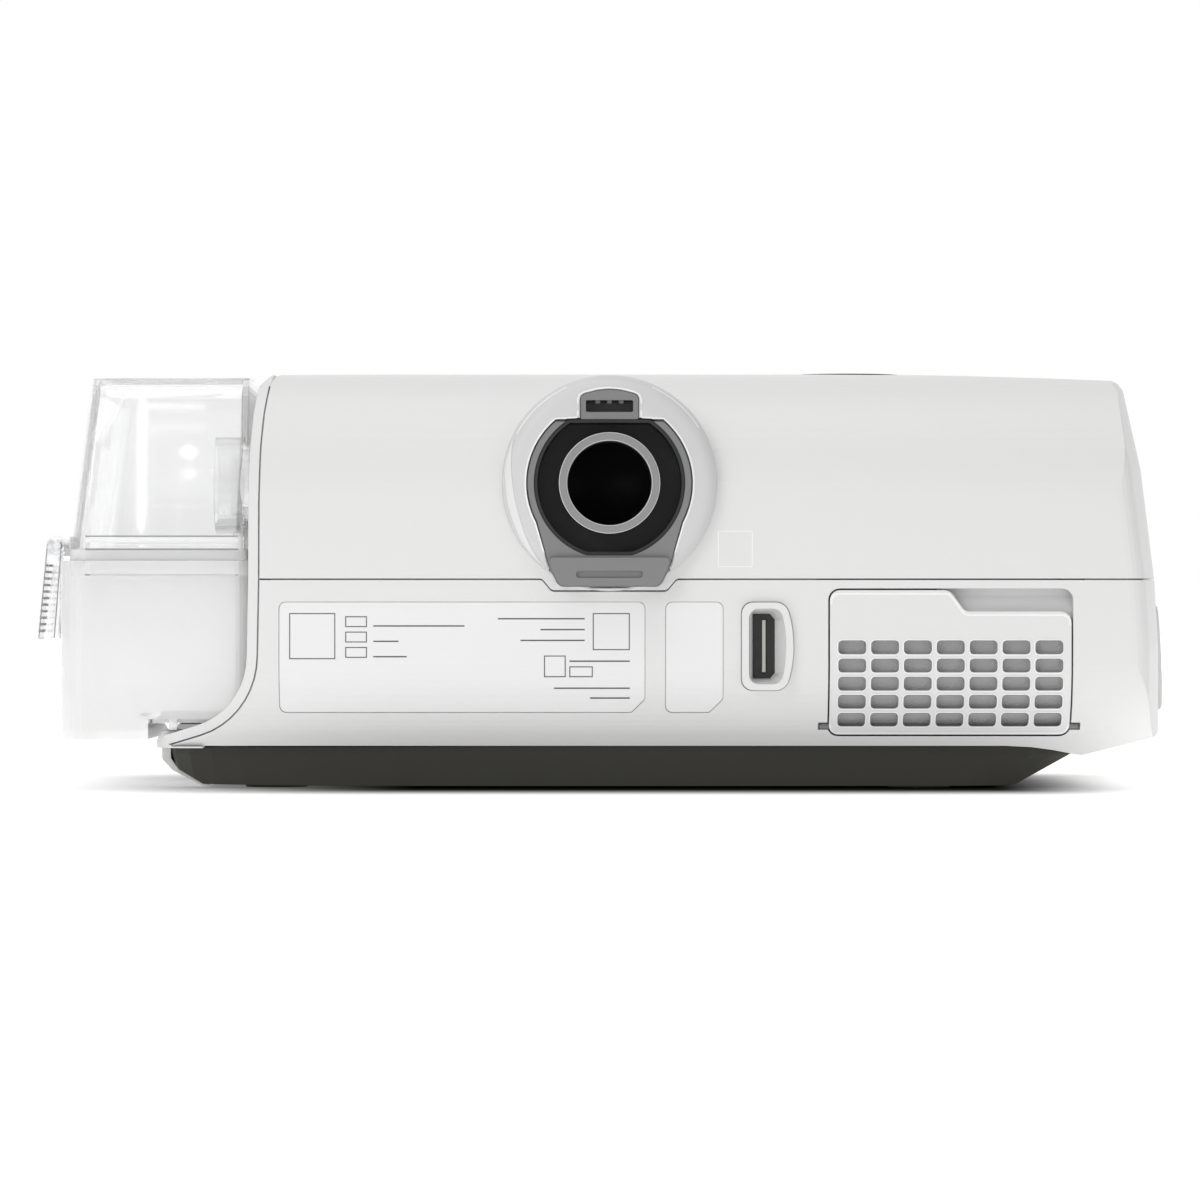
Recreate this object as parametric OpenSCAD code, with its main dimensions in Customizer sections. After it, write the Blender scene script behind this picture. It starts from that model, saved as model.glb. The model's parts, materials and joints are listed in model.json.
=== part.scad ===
// Bedside breathing machine with a heated water tub that slides out of one end.
// X runs along the machine towards the tub, Y towards the rear face, Z up from the table.
// The origin is the centre of the overall footprint, at table height.

/* [Overall] */
// Overall length, from the card cover to the tub's latch
overall_w = 256.4; // [250:0.2:264]
// Overall depth, from the front bulge to the end of the outlet nozzle
overall_d = 138.5; // [132:0.5:146]
// Overall height
overall_h = 94; // [92:0.5:98]

/* [Housing] */
// Wall of both housing shells
wall = 2.4; // [2:0.1:3]
// Height of the seam between the upper and lower shells
seam_z = 46.9; // [46:0.1:48]
// Width of the seam
seam_gap = 0.3; // [0.2:0.1:0.6]
// Height of the lower shell's underside
under_z = 9.7; // [9:0.1:10.5]
// How far the rear face lies in front of the nozzle's end
rear_inset = 7.25; // [6:0.25:9]
// Fillet between the top and the rear face
top_rear_r = 27; // [22:1:30]
// Fillet between the rear face and the underside
bottom_rear_r = 20; // [17:1:21]
// Fillet between the top and the front face
front_top_r = 9; // [6:1:12]
// Fillet between the front face and the underside
front_bottom_r = 24; // [20:1:26]
// Setback of the front top fillet's centre from the front
front_setback = 22.7; // [18:0.5:26]
// Radius of the top's crown along the machine
crown_long_r = 2550; // [2200:5:4000]
// Radius of the top's crown across the machine
crown_short_r = 600; // [500:10:900]
// Radius of the bowed card side, seen from above
side_bow_r = 300; // [260:10:340]
// How far the card side leans in above the seam, up to the top
side_lean = 7.25; // [6:0.05:8]
// How far the card side leans in below the seam
side_lean_low = 0.9; // [0.8:0.05:1.4]
// How far the underside hangs down at the card end
skirt_drop = 2.2; // [2:0.1:3]
// Length of the tub's bay, measured from the latch to the housing's end
bay_w = 53.2; // [52.8:0.1:54.5]
// Thickness of the dock frame's wall
dock_t = 2.5; // [2:0.1:3]
// Radius of the dock's lower corner
dock_corner_r = 18.8; // [17:0.2:20]
// Half depth of the tub's tray between its cheeks
tray_half = 51.5; // [50:0.5:52.5]

/* [Foot] */
// Height of the dark foot's floor
foot_floor = 2.2; // [1.8:0.1:3]
// How far the foot tapers in at the card side
foot_taper = 12.9; // [10:0.1:14]
// Half depth of the foot at its top
foot_half = 46; // [42:0.5:48]
// Radius of a rubber pad
pad_r = 7; // [5:0.5:8]
// Height that the rubber pads lift the foot
pad_h = 0.6; // [0.4:0.1:1]

/* [Outlet] */
// Sideways place of the outlet
outlet_x = -2.1; // [-4:0.1:2]
// Height of the outlet and of both air ducts
outlet_z = 68.1; // [67.6:0.1:68.8]
// Outside radius of the nozzle
nozzle_r = 11; // [10.8:0.1:11.2]
// Wall of the nozzle
nozzle_wall = 1.5; // [1.2:0.1:2]
// Depth of the ring-shaped well round the nozzle
well_depth = 15; // [13:0.5:16]
// Radius of that well
well_r = 15.9; // [15.6:0.1:16.2]
// Outside radius of the grey yoke
yoke_r = 18.1; // [17.9:0.1:18.4]
// Radius of the white boss at its face
boss_r = 23.7; // [23:0.1:23.9]
// Radius of the boss where it meets the shell
boss_flare_r = 24.6; // [24.2:0.1:25]
// How far the boss stands out of the rear face
boss_proud = 5; // [4:0.25:6]
// Width and height of the heated tube's socket
socket_w = 12.9; // [12:0.1:13.5]
socket_h = 6.3; // [6:0.1:6.6]
// Height of the socket's floor over the outlet's centre
socket_dz = 14.1; // [14:0.1:14.5]

/* [Ducts] */
// Bore radius of the two air ducts
duct_r = 10; // [9:0.25:10.5]
// Wall of the air ducts
duct_t = 1.4; // [1.2:0.1:1.8]
// Distance from the rear face to the outlet duct's axis
duct_setback = 24; // [23.5:0.5:25]
// Distance of the blower duct in front of the middle
blower_duct_y = -30; // [-31:0.5:-28]

/* [Filter door] */
// Height of the filter cover
door_h = 32.2; // [31:0.1:33]
// Height of the cover's lower edge
door_z = 12.3; // [12.3:0.1:12.6]
// Distance from the machine's card end to the cover
door_side = 23.8; // [23:0.1:26]
// Distance from the cover to the power inlet's middle
door_inlet_gap = 13.8; // [13:0.1:15]
// Thickness of the cover
door_t = 1.8; // [1.5:0.1:2]
// Gap round the cover
door_gap = 0.35; // [0.3:0.05:0.5]
// Depth of the finger notch
notch_h = 4.7; // [4.6:0.1:5.2]
// Width of the finger notch along its bottom
notch_w = 23.6; // [20:0.2:27]
// Number of slot columns
slot_columns = 7; // [5:1:7]
// Number of slot rows
slot_rows = 5; // [3:1:5]
// Width of the bars between the slots of a row
slot_bar = 1.07; // [0.9:0.01:1.4]
// Height of one slot
slot_h = 3.1; // [2.5:0.1:3.2]
// Radius of the cover's hinge pins
door_pin_r = 0.65; // [0.6:0.05:0.75]
// Height of the hinge pins
door_pin_z = 14.25; // [14.2:0.05:14.5]

/* [Labels] */
// Height of both labels
label_h = 24.6; // [22:0.1:25]
// Gap between the large label and the dock
label_gap = 3.9; // [3.5:0.1:10]
// Width of the small label
label_small_w = 12.8; // [11:0.1:13.5]
// Height of the labels' upper edge
label_z = 41.9; // [41:0.1:42.5]
// Sideways place of the large label's edge next to the small one
label_x = -10; // [-11:0.1:-9.5]
// Depth of the label recesses
label_depth = 0.5; // [0.4:0.05:0.7]

/* [Power inlet] */
// Sideways place of the inlet
inlet_x = -37.1; // [-39:0.1:-36]
// Height of the inlet's middle
inlet_z = 32.05; // [31:0.05:33]
// Width and height of the raised bezel
bezel_w = 11.5; // [11:0.1:12.5]
bezel_h = 19.5; // [19:0.1:20.5]
// Width and height of the inlet's opening
inlet_w = 8.1; // [7.9:0.1:8.5]
inlet_h = 16.7; // [16:0.1:17.2]

/* [Start button] */
// Distance from the card end to the button's middle
button_side = 71.7; // [71:0.1:74]
// Distance of the button behind the middle
button_y = 4; // [2:0.5:6]
// Radius of the dark ring round the button
button_ring_r = 12.3; // [11.5:0.1:13]
// Travel of the button
button_travel = 1.2; // [0.8:0.1:1.4]

/* [Blower] */
// Distance from the card end to the blower's axis
blower_side = 44.2; // [43.5:0.1:45]
// Place of the blower's axis along the depth
blower_y = -12; // [-13:0.5:-11]
// Outside radius of the blower case where it is widest
blower_r = 32; // [30:0.5:32.5]
// Height of the blower case's floor over the seam
blower_lift = 7.1; // [6.5:0.1:7.5]
// Room over the blower case for its motor
blower_headroom = 14.5; // [14:0.1:14.7]
// Number of impeller blades
blade_count = 11; // [7:1:13]

/* [Tub] */
// Clearance between the tub and the dock's wall
tub_gap = 0.8; // [0.7:0.05:1]
// Wall of the clear tub
tub_wall = 1.8; // [1.5:0.1:2]
// Half depth of the tub base
tub_half = 51.2; // [49:0.1:51.2]
// Half depth of the rim and the lid's flange
rim_half = 54; // [53:0.1:55]
// Outward place of the tub's side wall at its foot, from the latch's tip
tub_inset = 4.4; // [4:0.1:5]
// Height of the tub's underside outside the dock
tub_under_z = 11.2; // [10.8:0.1:11.6]
// Lower and upper heights of the base's rim
rim_z0 = 47.6; // [47.2:0.1:48]
rim_z1 = 51.1; // [50.8:0.1:51.4]
// Thickness of the lid's seal
seal_h = 2.5; // [2.2:0.1:2.8]
// Thickness of the lid's flange
flange_h = 2.8; // [2.5:0.1:3]
// Height of the lid beside the housing
lid_z = 93.1; // [92:0.1:93.4]
// Drop of the lid's roof towards the latch
lid_drop = 1.4; // [1:0.1:2]
// Half width of the latch
latch_half = 19; // [16:0.5:21]
// Radius of the latch's pin
latch_pin_r = 0.9; // [0.8:0.05:1]

/* [Heater] */
// Width and half depth of the heater plate
heater_w = 15; // [14:0.5:15]
heater_half = 38; // [34:0.5:38]
// Thickness of the heater plate
heater_t = 1.2; // [1:0.1:1.3]

/* [Memory card] */
// How far the card cover stands out of the side
card_cover_proud = 0.4; // [0.3:0.1:0.6]
// Half width of the card cover
card_cover_half = 16; // [14.5:0.5:17]
// Place of the card cover's middle along the depth
card_y = 2; // [0:0.5:4]
// Thickness of the card cover
card_cover_t = 2; // [1.8:0.1:2.2]

/* [Fits] */
// Clearance between fixed pieces that drop into each other
fit = 0.1; // [0.05:0.01:0.15]
// Clearance round moving pieces
run_gap = 0.3; // [0.3:0.05:0.4]
// Clearance of a pin in its bore
pin_fit = 0.05; // [0.03:0.01:0.08]

/* [Hidden] */
$fn = 48;

shell_white = [0.91, 0.91, 0.90];
dark_grey = [0.2, 0.2, 0.2];
mid_grey = [0.55, 0.56, 0.56];
clear_grey = [0.85, 0.88, 0.9, 0.45];
board_green = [0.1, 0.35, 0.2];

half_w = overall_w / 2;
front_y = -overall_d / 2;
rear_y = overall_d / 2 - rear_inset;
card_x = -half_w;
side_x = card_x + card_cover_proud;
dock_x = half_w - bay_w;
tub_x0 = dock_x + dock_t + tub_gap;
beyond = 40;
tall = 300;
floor_z = under_z + wall;

label_w = dock_x - label_gap - label_x;
outlet_duct_y = rear_y - duct_setback;
blower_z0 = seam_z + blower_lift;
blower_z1 = overall_h - blower_headroom;

// A point at distance r and angle a from a centre
function polar(c, r, a) = [c[0] + r * cos(a), c[1] + r * sin(a)];

// Points along an arc round a centre
function arc(c, r, a0, a1, n = 8) = [for (i = [0:n]) polar(c, r, a0 + (a1 - a0) * i / n)];

function unit(v) = v / norm(v);

// One corner of an outline, rounded by the radius r
function round_corner(a, b, c, r, n) = r <= 0 ? [b] : let(
    u = unit(a - b),
    w = unit(c - b),
    half = acos(u * w) / 2,
    centre = b + unit(u + w) * r / sin(half),
    start = b + u * r / tan(half),
    from = atan2(start[1] - centre[1], start[0] - centre[0]),
    turn = cross(b - a, c - b) > 0 ? 180 - 2 * half : 2 * half - 180)
    arc(centre, r, from, from + turn, n);

// An outline of [x, y, corner radius] entries as plain points
function rounded(p, n = 5) = [for (i = [0:len(p) - 1])
    let(a = p[(i + len(p) - 1) % len(p)], b = p[i], c = p[(i + 1) % len(p)])
    each round_corner([a[0], a[1]], [b[0], b[1]], [c[0], c[1]], b[2], n)];

// A rounded rectangle's corners, as entries for rounded()
function box_outline(x0, y0, x1, y1, r) = [[x0, y0, r], [x1, y0, r], [x1, y1, r], [x0, y1, r]];

// Extrudes an outline of (y, z) points along X
module along_x(x0, x1) {
    translate([x0, 0, 0]) rotate([90, 0, 90]) linear_extrude(x1 - x0) children();
}

// Extrudes an outline of (x, z) points along Y
module along_y(y0, y1) {
    translate([0, y1, 0]) rotate([90, 0, 0]) linear_extrude(y1 - y0) children();
}

// Extrudes an outline of (x, y) points along Z
module along_z(z0, z1) {
    translate([0, 0, z0]) linear_extrude(z1 - z0) children();
}

// A plain box between two corners
module block(a, b) {
    translate(a) cube(b - a);
}

module rod_x(x0, x1, r, at) {
    translate([x0, at[0], at[1]]) rotate([0, 90, 0]) cylinder(h = x1 - x0, r = r);
}

module rod_y(y0, y1, r, at) {
    translate([at[0], y1, at[1]]) rotate([90, 0, 0]) cylinder(h = y1 - y0, r = r);
}

module rod_z(z0, z1, r, at) {
    translate([at[0], at[1], z0]) cylinder(h = z1 - z0, r = r);
}

// Height of the crowned top along each direction
function crown_short(y) = overall_h - y * y / (2 * crown_short_r);
function crown_long(x) = overall_h - x * x / (2 * crown_long_r);

// Centres of the four fillets of the side profile, as (y, z)
c_top_rear = [rear_y - top_rear_r, crown_short(rear_y - top_rear_r) - top_rear_r];
c_bottom_rear = [rear_y - bottom_rear_r, under_z + bottom_rear_r];
c_top_front = [front_y + front_setback, crown_short(front_y + front_setback) - front_top_r];
c_bottom_front = [front_y + front_bottom_r, under_z + front_bottom_r];
front_run = c_top_front - c_bottom_front;
front_normal = atan2(front_run[1], front_run[0]) + acos((front_bottom_r - front_top_r) / norm(front_run));
front_tilt = 180 - front_normal;

// Distance along Y to the sloped front face at a height
function front_face_y(z) = let(p = polar(c_bottom_front, front_bottom_r, front_normal))
    p[0] + (z - p[1]) * tan(front_tilt);

// Angle at which the lower fillets run out into straight slopes
run_out = 60;

// Side profile of the housing, drawn in by e
function side_profile(e) = let(
    rear_run = polar(c_bottom_rear, bottom_rear_r - e, -run_out),
    front_run_out = polar(c_bottom_front, front_bottom_r - e, 180 + run_out),
    low = under_z - skirt_drop + e)
    concat(
        [[rear_run[0] - (rear_run[1] - low) * tan(run_out), low]],
        arc(c_bottom_rear, bottom_rear_r - e, -run_out, 0, 12),
        arc(c_top_rear, top_rear_r - e, 0, 86, 16),
        [for (y = [24, 12, 0, -12, -24, -36]) [y, crown_short(y) - e]],
        arc(c_top_front, front_top_r - e, 94, front_normal, 7),
        arc(c_bottom_front, front_bottom_r - e, front_normal, 180, 2),
        arc(c_bottom_front, front_bottom_r - e, 187.5, 180 + run_out, 7),
        [[front_run_out[0] + (front_run_out[1] - low) * tan(run_out), low]]);

// Flat bands of the card side from low to high, as (height, how far the side has leaned in)
side_knee_z = 32;
side_bend_z = 72;
roof_edge_z = overall_h - 2.7;
side_bands = [
    [side_knee_z, 0],
    [seam_z, side_lean_low],
    [side_bend_z, side_lean_low + 0.43 * side_lean],
    [roof_edge_z - 0.9, side_lean_low + side_lean],
    [roof_edge_z + 0.4, side_lean_low + side_lean + 1.1]];

// Line of the housing's end beside the tub at a height
function dock_side(z) = dock_x + 0.4 - 2.4 * pow(max(z - seam_z, 0) / (overall_h - seam_z), 4);

// Lower corner of the dock, shared by the housing's end and the dock frame
dock_corner = [dock_x + 0.7 + dock_corner_r, under_z + 20.3];
dock_slope = 17;
dock_tip_x = dock_x + 20.6;
dock_lip_x = dock_x + 24.6;

// End of the housing beside the tub, from the foot up to the roof
function dock_edge(d, tip) = let(
    r = dock_corner_r - d,
    low = polar(dock_corner, r, 180 + 90 - dock_slope))
    concat([[tip, low[1] - (tip - low[0]) * tan(dock_slope)]],
        arc(dock_corner, r, 270 - dock_slope, 180, 9),
        [for (z = [seam_z, 64, 76, 84, 90]) [dock_side(z) + d, z]]);

// Underside seen from the rear, from the foot's middle to the card side
function underside(e) = [
    [side_x + 0.3 + e, under_z + 3 + e],
    [card_x + 20.2, under_z - skirt_drop + e],
    [card_x + 22.2, under_z - 1.9 + e],
    [card_x + 26.7, under_z - 1 + e],
    [card_x + 31.7, under_z - 0.3 + e],
    [card_x + 37.7, under_z + e]];

// Rear outline of the housing drawn in by e, open towards the tub when open is true
function rear_outline(e, open = false) = rounded(concat(
    [for (p = underside(e)) [p[0], p[1], 0]],
    open ? [[dock_tip_x + beyond, under_z + e, 0], [dock_tip_x + beyond, crown_long(90) - e, 0]]
        : concat([[dock_tip_x, under_z + e, 0]], [for (p = dock_edge(0, dock_tip_x)) [p[0], p[1], 0]],
            [[dock_side(crown_long(70)), crown_long(70), 2.5]]),
    [for (x = [50, 25, 0, -25, -50, -75, -100]) [x, crown_long(x) - e, 0]],
    [[side_x - 1, crown_long(side_x - 1) - e, 0], [side_x - 1, under_z + 3.2 + e, 0]]));

// Plan of the housing drawn in by e, with a bowed card side
function bow_x(y) = side_x + y * y / (2 * side_bow_r);
function plan_outline(e) = rounded(concat(
    [[half_w, front_y - 2, 0], [half_w, rear_y - e, 0], [bow_x(rear_y) + e, rear_y - e, 4 - min(e, 3)]],
    [for (y = [45, 30, 15, 0, -15, -30]) [bow_x(y) + e, y, 0]],
    [[bow_x(front_y) + e, front_y - 2, 16 - e]]));

// Plan of the housing drawn in by e as a tall block that leans with one band of the card side
module leaning_plan(e, low, high) {
    translate([side_x + low[1], 0, low[0]]) rotate([0, atan((high[1] - low[1]) / (high[0] - low[0])), 0])
        translate([-side_x, 0, 0]) along_z(-tall, tall) polygon(plan_outline(e));
}

// The housing as one solid, drawn in by e
module housing_block(e, open = false) {
    intersection() {
        along_x(card_x - 1, open ? dock_tip_x + 1 : dock_lip_x + 1) polygon(side_profile(e));
        along_y(front_y - 5, rear_y + 5) polygon(rear_outline(e, open));
        along_z(0, overall_h + 5) polygon(plan_outline(e));
        leaning_plan(e, side_bands[0], side_bands[1]);
        leaning_plan(e, side_bands[1], side_bands[2]);
        leaning_plan(e, side_bands[2], side_bands[3]);
        leaning_plan(e, side_bands[3], side_bands[4]);
    }
}

// A layer of the rear face between two depths, cut to an outline of (x, z) points
module rear_skin(d0, d1) {
    intersection() {
        along_y(5, rear_y + 5) children();
        difference() {
            along_x(card_x - 1, half_w) polygon(side_profile(d0));
            along_x(card_x - 2, half_w + 1) polygon(side_profile(d1));
        }
    }
}

// Housing above the seam, with the tongue that runs down under the outlet
tongue_drop = boss_r + 0.1 - (outlet_z - seam_z);
function seam_outline(gap) = [
    [card_x - 5, seam_z + gap, 0],
    [outlet_x - 14.9, seam_z + gap, 1],
    [outlet_x - 12.7, seam_z - tongue_drop + gap, 1.5],
    [outlet_x + 12.8, seam_z - tongue_drop + gap, 1.5],
    [outlet_x + 15, seam_z + gap, 1],
    [half_w, seam_z + gap, 0],
    [half_w, overall_h + 10, 0],
    [card_x - 5, overall_h + 10, 0]];

tongue_y = rear_y - wall - 0.6;
module above_seam(gap) {
    block([card_x - 5, front_y - 5, seam_z + gap], [half_w, tongue_y, overall_h + 10]);
    along_y(tongue_y, rear_y + 5) polygon(rounded(seam_outline(gap)));
}

// Screw posts, clear of the ducts and of the card board
post_r = 3.6;
screw_r = 1.5;
posts = [[card_x + 13, rear_y - 20], [card_x + 21, front_y + 19.2], [outlet_x - 24.9, rear_y - 24],
    [dock_x - 9, front_y + 17.2]];
head_z = floor_z + 1.5;

// Carries its children to the sloped front face at the fascia's middle
fascia_z = seam_z + 20.1;
module on_front() {
    translate([0, front_face_y(fascia_z), fascia_z]) rotate([-front_tilt, 0, 0]) children();
}

fascia_x0 = card_x + 22.2;
fascia_x1 = dock_x - 9;
fascia_half = 18;
fascia_t = 1.4;
fascia_ledge = 3;
function fascia_outline(e) =
    box_outline(fascia_x0 + e, e - fascia_half, fascia_x1 - e, fascia_half - e, 7 - e);

button_x = card_x + button_side;
button_at = [button_x, button_y];
button_top = overall_h - 0.2;
stem_z = overall_h - 6.8;
button_board_z = overall_h - 12.3;
button_board_t = 1.5;
boss_post_dx = 12;

module top_cover() color(shell_white) {
    difference() {
        union() {
            difference() {
                intersection() {
                    housing_block(0);
                    above_seam(seam_gap / 2);
                }
                housing_block(wall, true);
            }
            intersection() {
                housing_block(wall / 2, true);
                union() {
                    for (p = posts) rod_z(seam_z + seam_gap / 2, overall_h, post_r, p);
                    for (dx = [-boss_post_dx, boss_post_dx])
                        rod_z(button_board_z + button_board_t, overall_h, 2.2, [button_x + dx,
                            button_y + 14]);
                    for (dx = [-boss_post_dx, boss_post_dx])
                        rod_z(button_board_z + button_board_t, overall_h, 2.2, [button_x + dx,
                            button_y - 9]);
                }
            }
        }
        for (p = posts) rod_z(seam_z - 1, seam_z + 12, screw_r + 0.02, p);
        at_outlet() along_y(c_top_rear[0] - 2, rear_y + 2) well_outline(cup_wall + run_gap);
        at_outlet() along_y(socket_y0, rear_y + 2) polygon(rounded(socket_outline(fit)));
        rod_z(stem_z - 2, overall_h + 1, button_ring_r + fit, button_at);
        on_front() along_y(-3, fascia_t) polygon(rounded(fascia_outline(-fit)));
        on_front() along_y(-3, wall * 3) polygon(rounded(fascia_outline(fascia_ledge)));
    }
}

// Where things stand behind the rear wall
door_x0 = card_x + door_side;
door_x1 = inlet_x - door_inlet_gap;
door_w = door_x1 - door_x0;
door_z1 = door_z + door_h;
function on_bottom_fillet(z, e) = c_bottom_rear[0]
    + sqrt(pow(bottom_rear_r - e, 2) - pow(c_bottom_rear[1] - z, 2));
door_pin_y = on_bottom_fillet(door_pin_z, 0) - 1.3;
inlet_back = rear_y - 12;
label_z0 = label_z - label_h;
small_label_x1 = label_x - 4.5;

// Outline round the inlet's middle: straight on one side, bowed by that much on the other
function bowed_outline(w, h, bow, r) = concat(
    [[inlet_x + w / 2, inlet_z - h / 2, r[0]],
        [inlet_x + w / 2, inlet_z + h / 2, r[0]],
        [inlet_x - w / 2 + bow, inlet_z + h / 2, r[1]]],
    [for (t = [0.6, 0.4, 0.2, 0, -0.2, -0.4, -0.6]) [inlet_x - w / 2 + bow * t * t, inlet_z + t * h / 2,
        0]],
    [[inlet_x - w / 2 + bow, inlet_z - h / 2, r[1]]]);

function bezel_outline(e) = bowed_outline(bezel_w + 2 * e, bezel_h + 2 * e, 1.7, [2.5, 3]);

function label_outline(x0, x1, e) = [
    [x1 + e, label_z0 - e, 1.5],
    [x1 + e, label_z + e, 1.5],
    [x0 - e, label_z + e, 1.5],
    [x0 - e, label_z0 + 3 - e, 0.8],
    [x0 + 3 - e, label_z0 - e, 0.8]];

// Recess of the filter cover: the full rectangle with round corners
function door_recess(e) = box_outline(door_x0 - e, door_z - e, door_x1 + e, door_z1 + e, 2.5);

// The cover itself, with the finger notch cut from its upper edge
notch_x = door_x0 + notch_w;
notch_slope = 3.4;
function door_outline() = [
    [door_x1, door_z, 2.2],
    [door_x1, door_z1, 2.2],
    [notch_x + notch_slope, door_z1, 2.5],
    [notch_x, door_z1 - notch_h, 2],
    [door_x0, door_z1 - notch_h, 2.4],
    [door_x0, door_z, 2.2]];

card_z = under_z + 14.4;
card_pocket_z0 = under_z + 7;
card_pocket_z1 = under_z + 31.5;
card_hinge = [card_x + 1.15, card_pocket_z0 + 1.5];
card_pin_r = 0.6;
barrel_r = 1.1;

heater_x0 = dock_x + 5;
heater_x1 = heater_x0 + heater_w;
heater_z1 = floor_z + 2.3;
heater_z0 = heater_z1 - heater_t;
spring_r = 3;
spring_places = [for (y = [-24, 24]) [heater_x0 + heater_w / 2 - 2.5, y]];

// Inner rim of the lower shell that locates the upper one
module seam_lip() {
    difference() {
        union() {
            intersection() {
                housing_block(wall + fit, true);
                block([card_x, front_y, seam_z - 3], [dock_x - 2, rear_y - wall - fit, seam_z + 2]);
            }
            intersection() {
                housing_block(wall / 2, true);
                block([card_x, front_y, seam_z - 3], [dock_x - 2, rear_y, seam_z - seam_gap]);
            }
        }
        housing_block(wall + 1.3, true);
        for (p = posts) rod_z(seam_z, seam_z + 3, post_r + fit, p);
        block([bay_x0 - fit, bay_y0, seam_z - 4], [bay_x1 + fit, rear_y - wall + 0.05, seam_z + 3]);
    }
}

module lower_housing() color(shell_white) {
    difference() {
        union() {
            difference() {
                housing_block(0);
                above_seam(-seam_gap / 2);
                housing_block(wall, true);
            }
            seam_lip();
            intersection() {
                housing_block(wall / 2, true);
                for (p = posts) rod_z(under_z - 3, seam_z - seam_gap / 2, post_r, p);
            }
        }
        above_seam_notch();
        for (p = posts) {
            rod_z(head_z - beyond, head_z, screw_r * 2 + 0.2, p);
            rod_z(head_z - 1, seam_z + 1, screw_r + 0.2, p);
        }
        along_y(c_bottom_rear[0] - 6, rear_y + 2) polygon(rounded(door_recess(door_gap)));
        for (x = [door_x0, door_x1])
            block([x - 2.4, door_pin_y - 0.8, door_pin_z - 0.8], [x + 2.4, rear_y, door_pin_z + 0.8]);
        along_y(inlet_back, rear_y + 2) polygon(rounded(bezel_outline(fit)));
        rear_skin(-1, label_depth) polygon(rounded(label_outline(label_x, label_x + label_w, 0)));
        rear_skin(-1, label_depth)
            polygon(rounded(label_outline(small_label_x1 - label_small_w, small_label_x1, 0)));
        block([card_x - 2, card_y - card_cover_half - run_gap, card_pocket_z0],
            [side_x + wall + 2, card_y + card_cover_half + run_gap, card_pocket_z1]);
        rod_y(card_y - card_cover_half - 3, card_y + card_cover_half + 3, card_pin_r + pin_fit, card_hinge);
        block([heater_x0 - run_gap, -heater_half - run_gap, under_z - 1],
            [heater_x1 + run_gap, heater_half + run_gap, floor_z + 1]);
    }
}

// The room that the upper shell's tongue takes out of the lower shell
module above_seam_notch() {
    intersection() {
        block([card_x, tongue_y, seam_z - tongue_drop - 1], [half_w, rear_y + 5, seam_z - seam_gap]);
        above_seam(-seam_gap / 2);
    }
}

foot_x0 = card_x + 20.9;
foot_x1 = dock_x + 22.3;

// Half depth of the foot along its length, widest in the middle
foot_bow = 4;
function foot_side(x) = foot_half - foot_bow * pow((2 * x - foot_x0 - foot_x1) / (foot_x1 - foot_x0), 2);
foot_steps = [for (i = [1:7]) foot_x0 + (foot_x1 - foot_x0) * i / 8];

// The foot's plan, drawn in by e, its card end drawn in by a further amount
function foot_plan(e, end) = rounded(concat(
    [[foot_x0 + end + e, e - foot_side(foot_x0), 18 - e]],
    [for (x = foot_steps) [x, e - foot_side(x), 0]],
    [[foot_x1 - e, e - foot_side(foot_x1), 18 - e], [foot_x1 - e, foot_side(foot_x1) - e, 18 - e]],
    [for (i = [len(foot_steps) - 1:-1:0]) [foot_steps[i], foot_side(foot_steps[i]) - e, 0]],
    [[foot_x0 + end + e, foot_side(foot_x0) - e, 18 - e]]), 4);

module foot_solid(e) {
    hull() {
        along_z(under_z - 2, under_z + 1 + e) polygon(foot_plan(e, 0));
        along_z(pad_h + e, pad_h + e + 0.1) polygon(foot_plan(e + 2, foot_taper - 2));
    }
}

pads = [for (x = [foot_x0 + foot_taper + 22, foot_x1 - 24]) for (y = [-26, 26]) [x, y]];

module base_foot() color([0.22, 0.22, 0.19]) {
    difference() {
        intersection() {
            foot_solid(0);
            along_y(-beyond * 2, beyond * 2) polygon(concat(
                [for (p = rounded(concat([[0, 0, 0]], foot_end(0), [[0, under_z, 0]]))) p],
                [for (i = [5:-1:1]) underside(0)[i]],
                [[card_x, under_z - 2.5], [card_x, 0]]));
        }
        difference() {
            foot_solid(foot_floor - pad_h);
            for (p = posts) rod_z(0, under_z, post_r + 1.5, p);
        }
        for (p = pads) rod_z(-1, foot_floor - 1, pad_r + fit, p);
    }
}

module rubber_feet() color([0.12, 0.12, 0.12]) {
    for (p = pads) rod_z(0, foot_floor - 1, pad_r, p);
}

// Strip between the shell's end line and the tub's line
function dock_strip(d) = concat(
    dock_edge(0, dock_tip_x),
    [[dock_side(crown_long(74)), crown_long(74)], [dock_side(crown_long(74)) + d - 2, crown_long(74)]],
    [for (i = [len(dock_edge(d, dock_tip_x)) - 1:-1:0]) dock_edge(d, dock_tip_x + 2)[i]]);

port_r = duct_r - 0.5;
ports = [[outlet_duct_y, outlet_z], [blower_duct_y, outlet_z]];
tray_z = floor_z + 1;
lip_half = 49;
lip_wrap = 27;

// The foot's end under the dock as (x, z), grown by g
function foot_end(g) = [
    [foot_x1 - 8, 0.9 - g, 0], [foot_x1 - 1.8, 4.2 - g, 1.5], [foot_x1 + g, 7, 1.5],
        [foot_x1 + g, under_z - 0.4, 0]];

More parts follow.
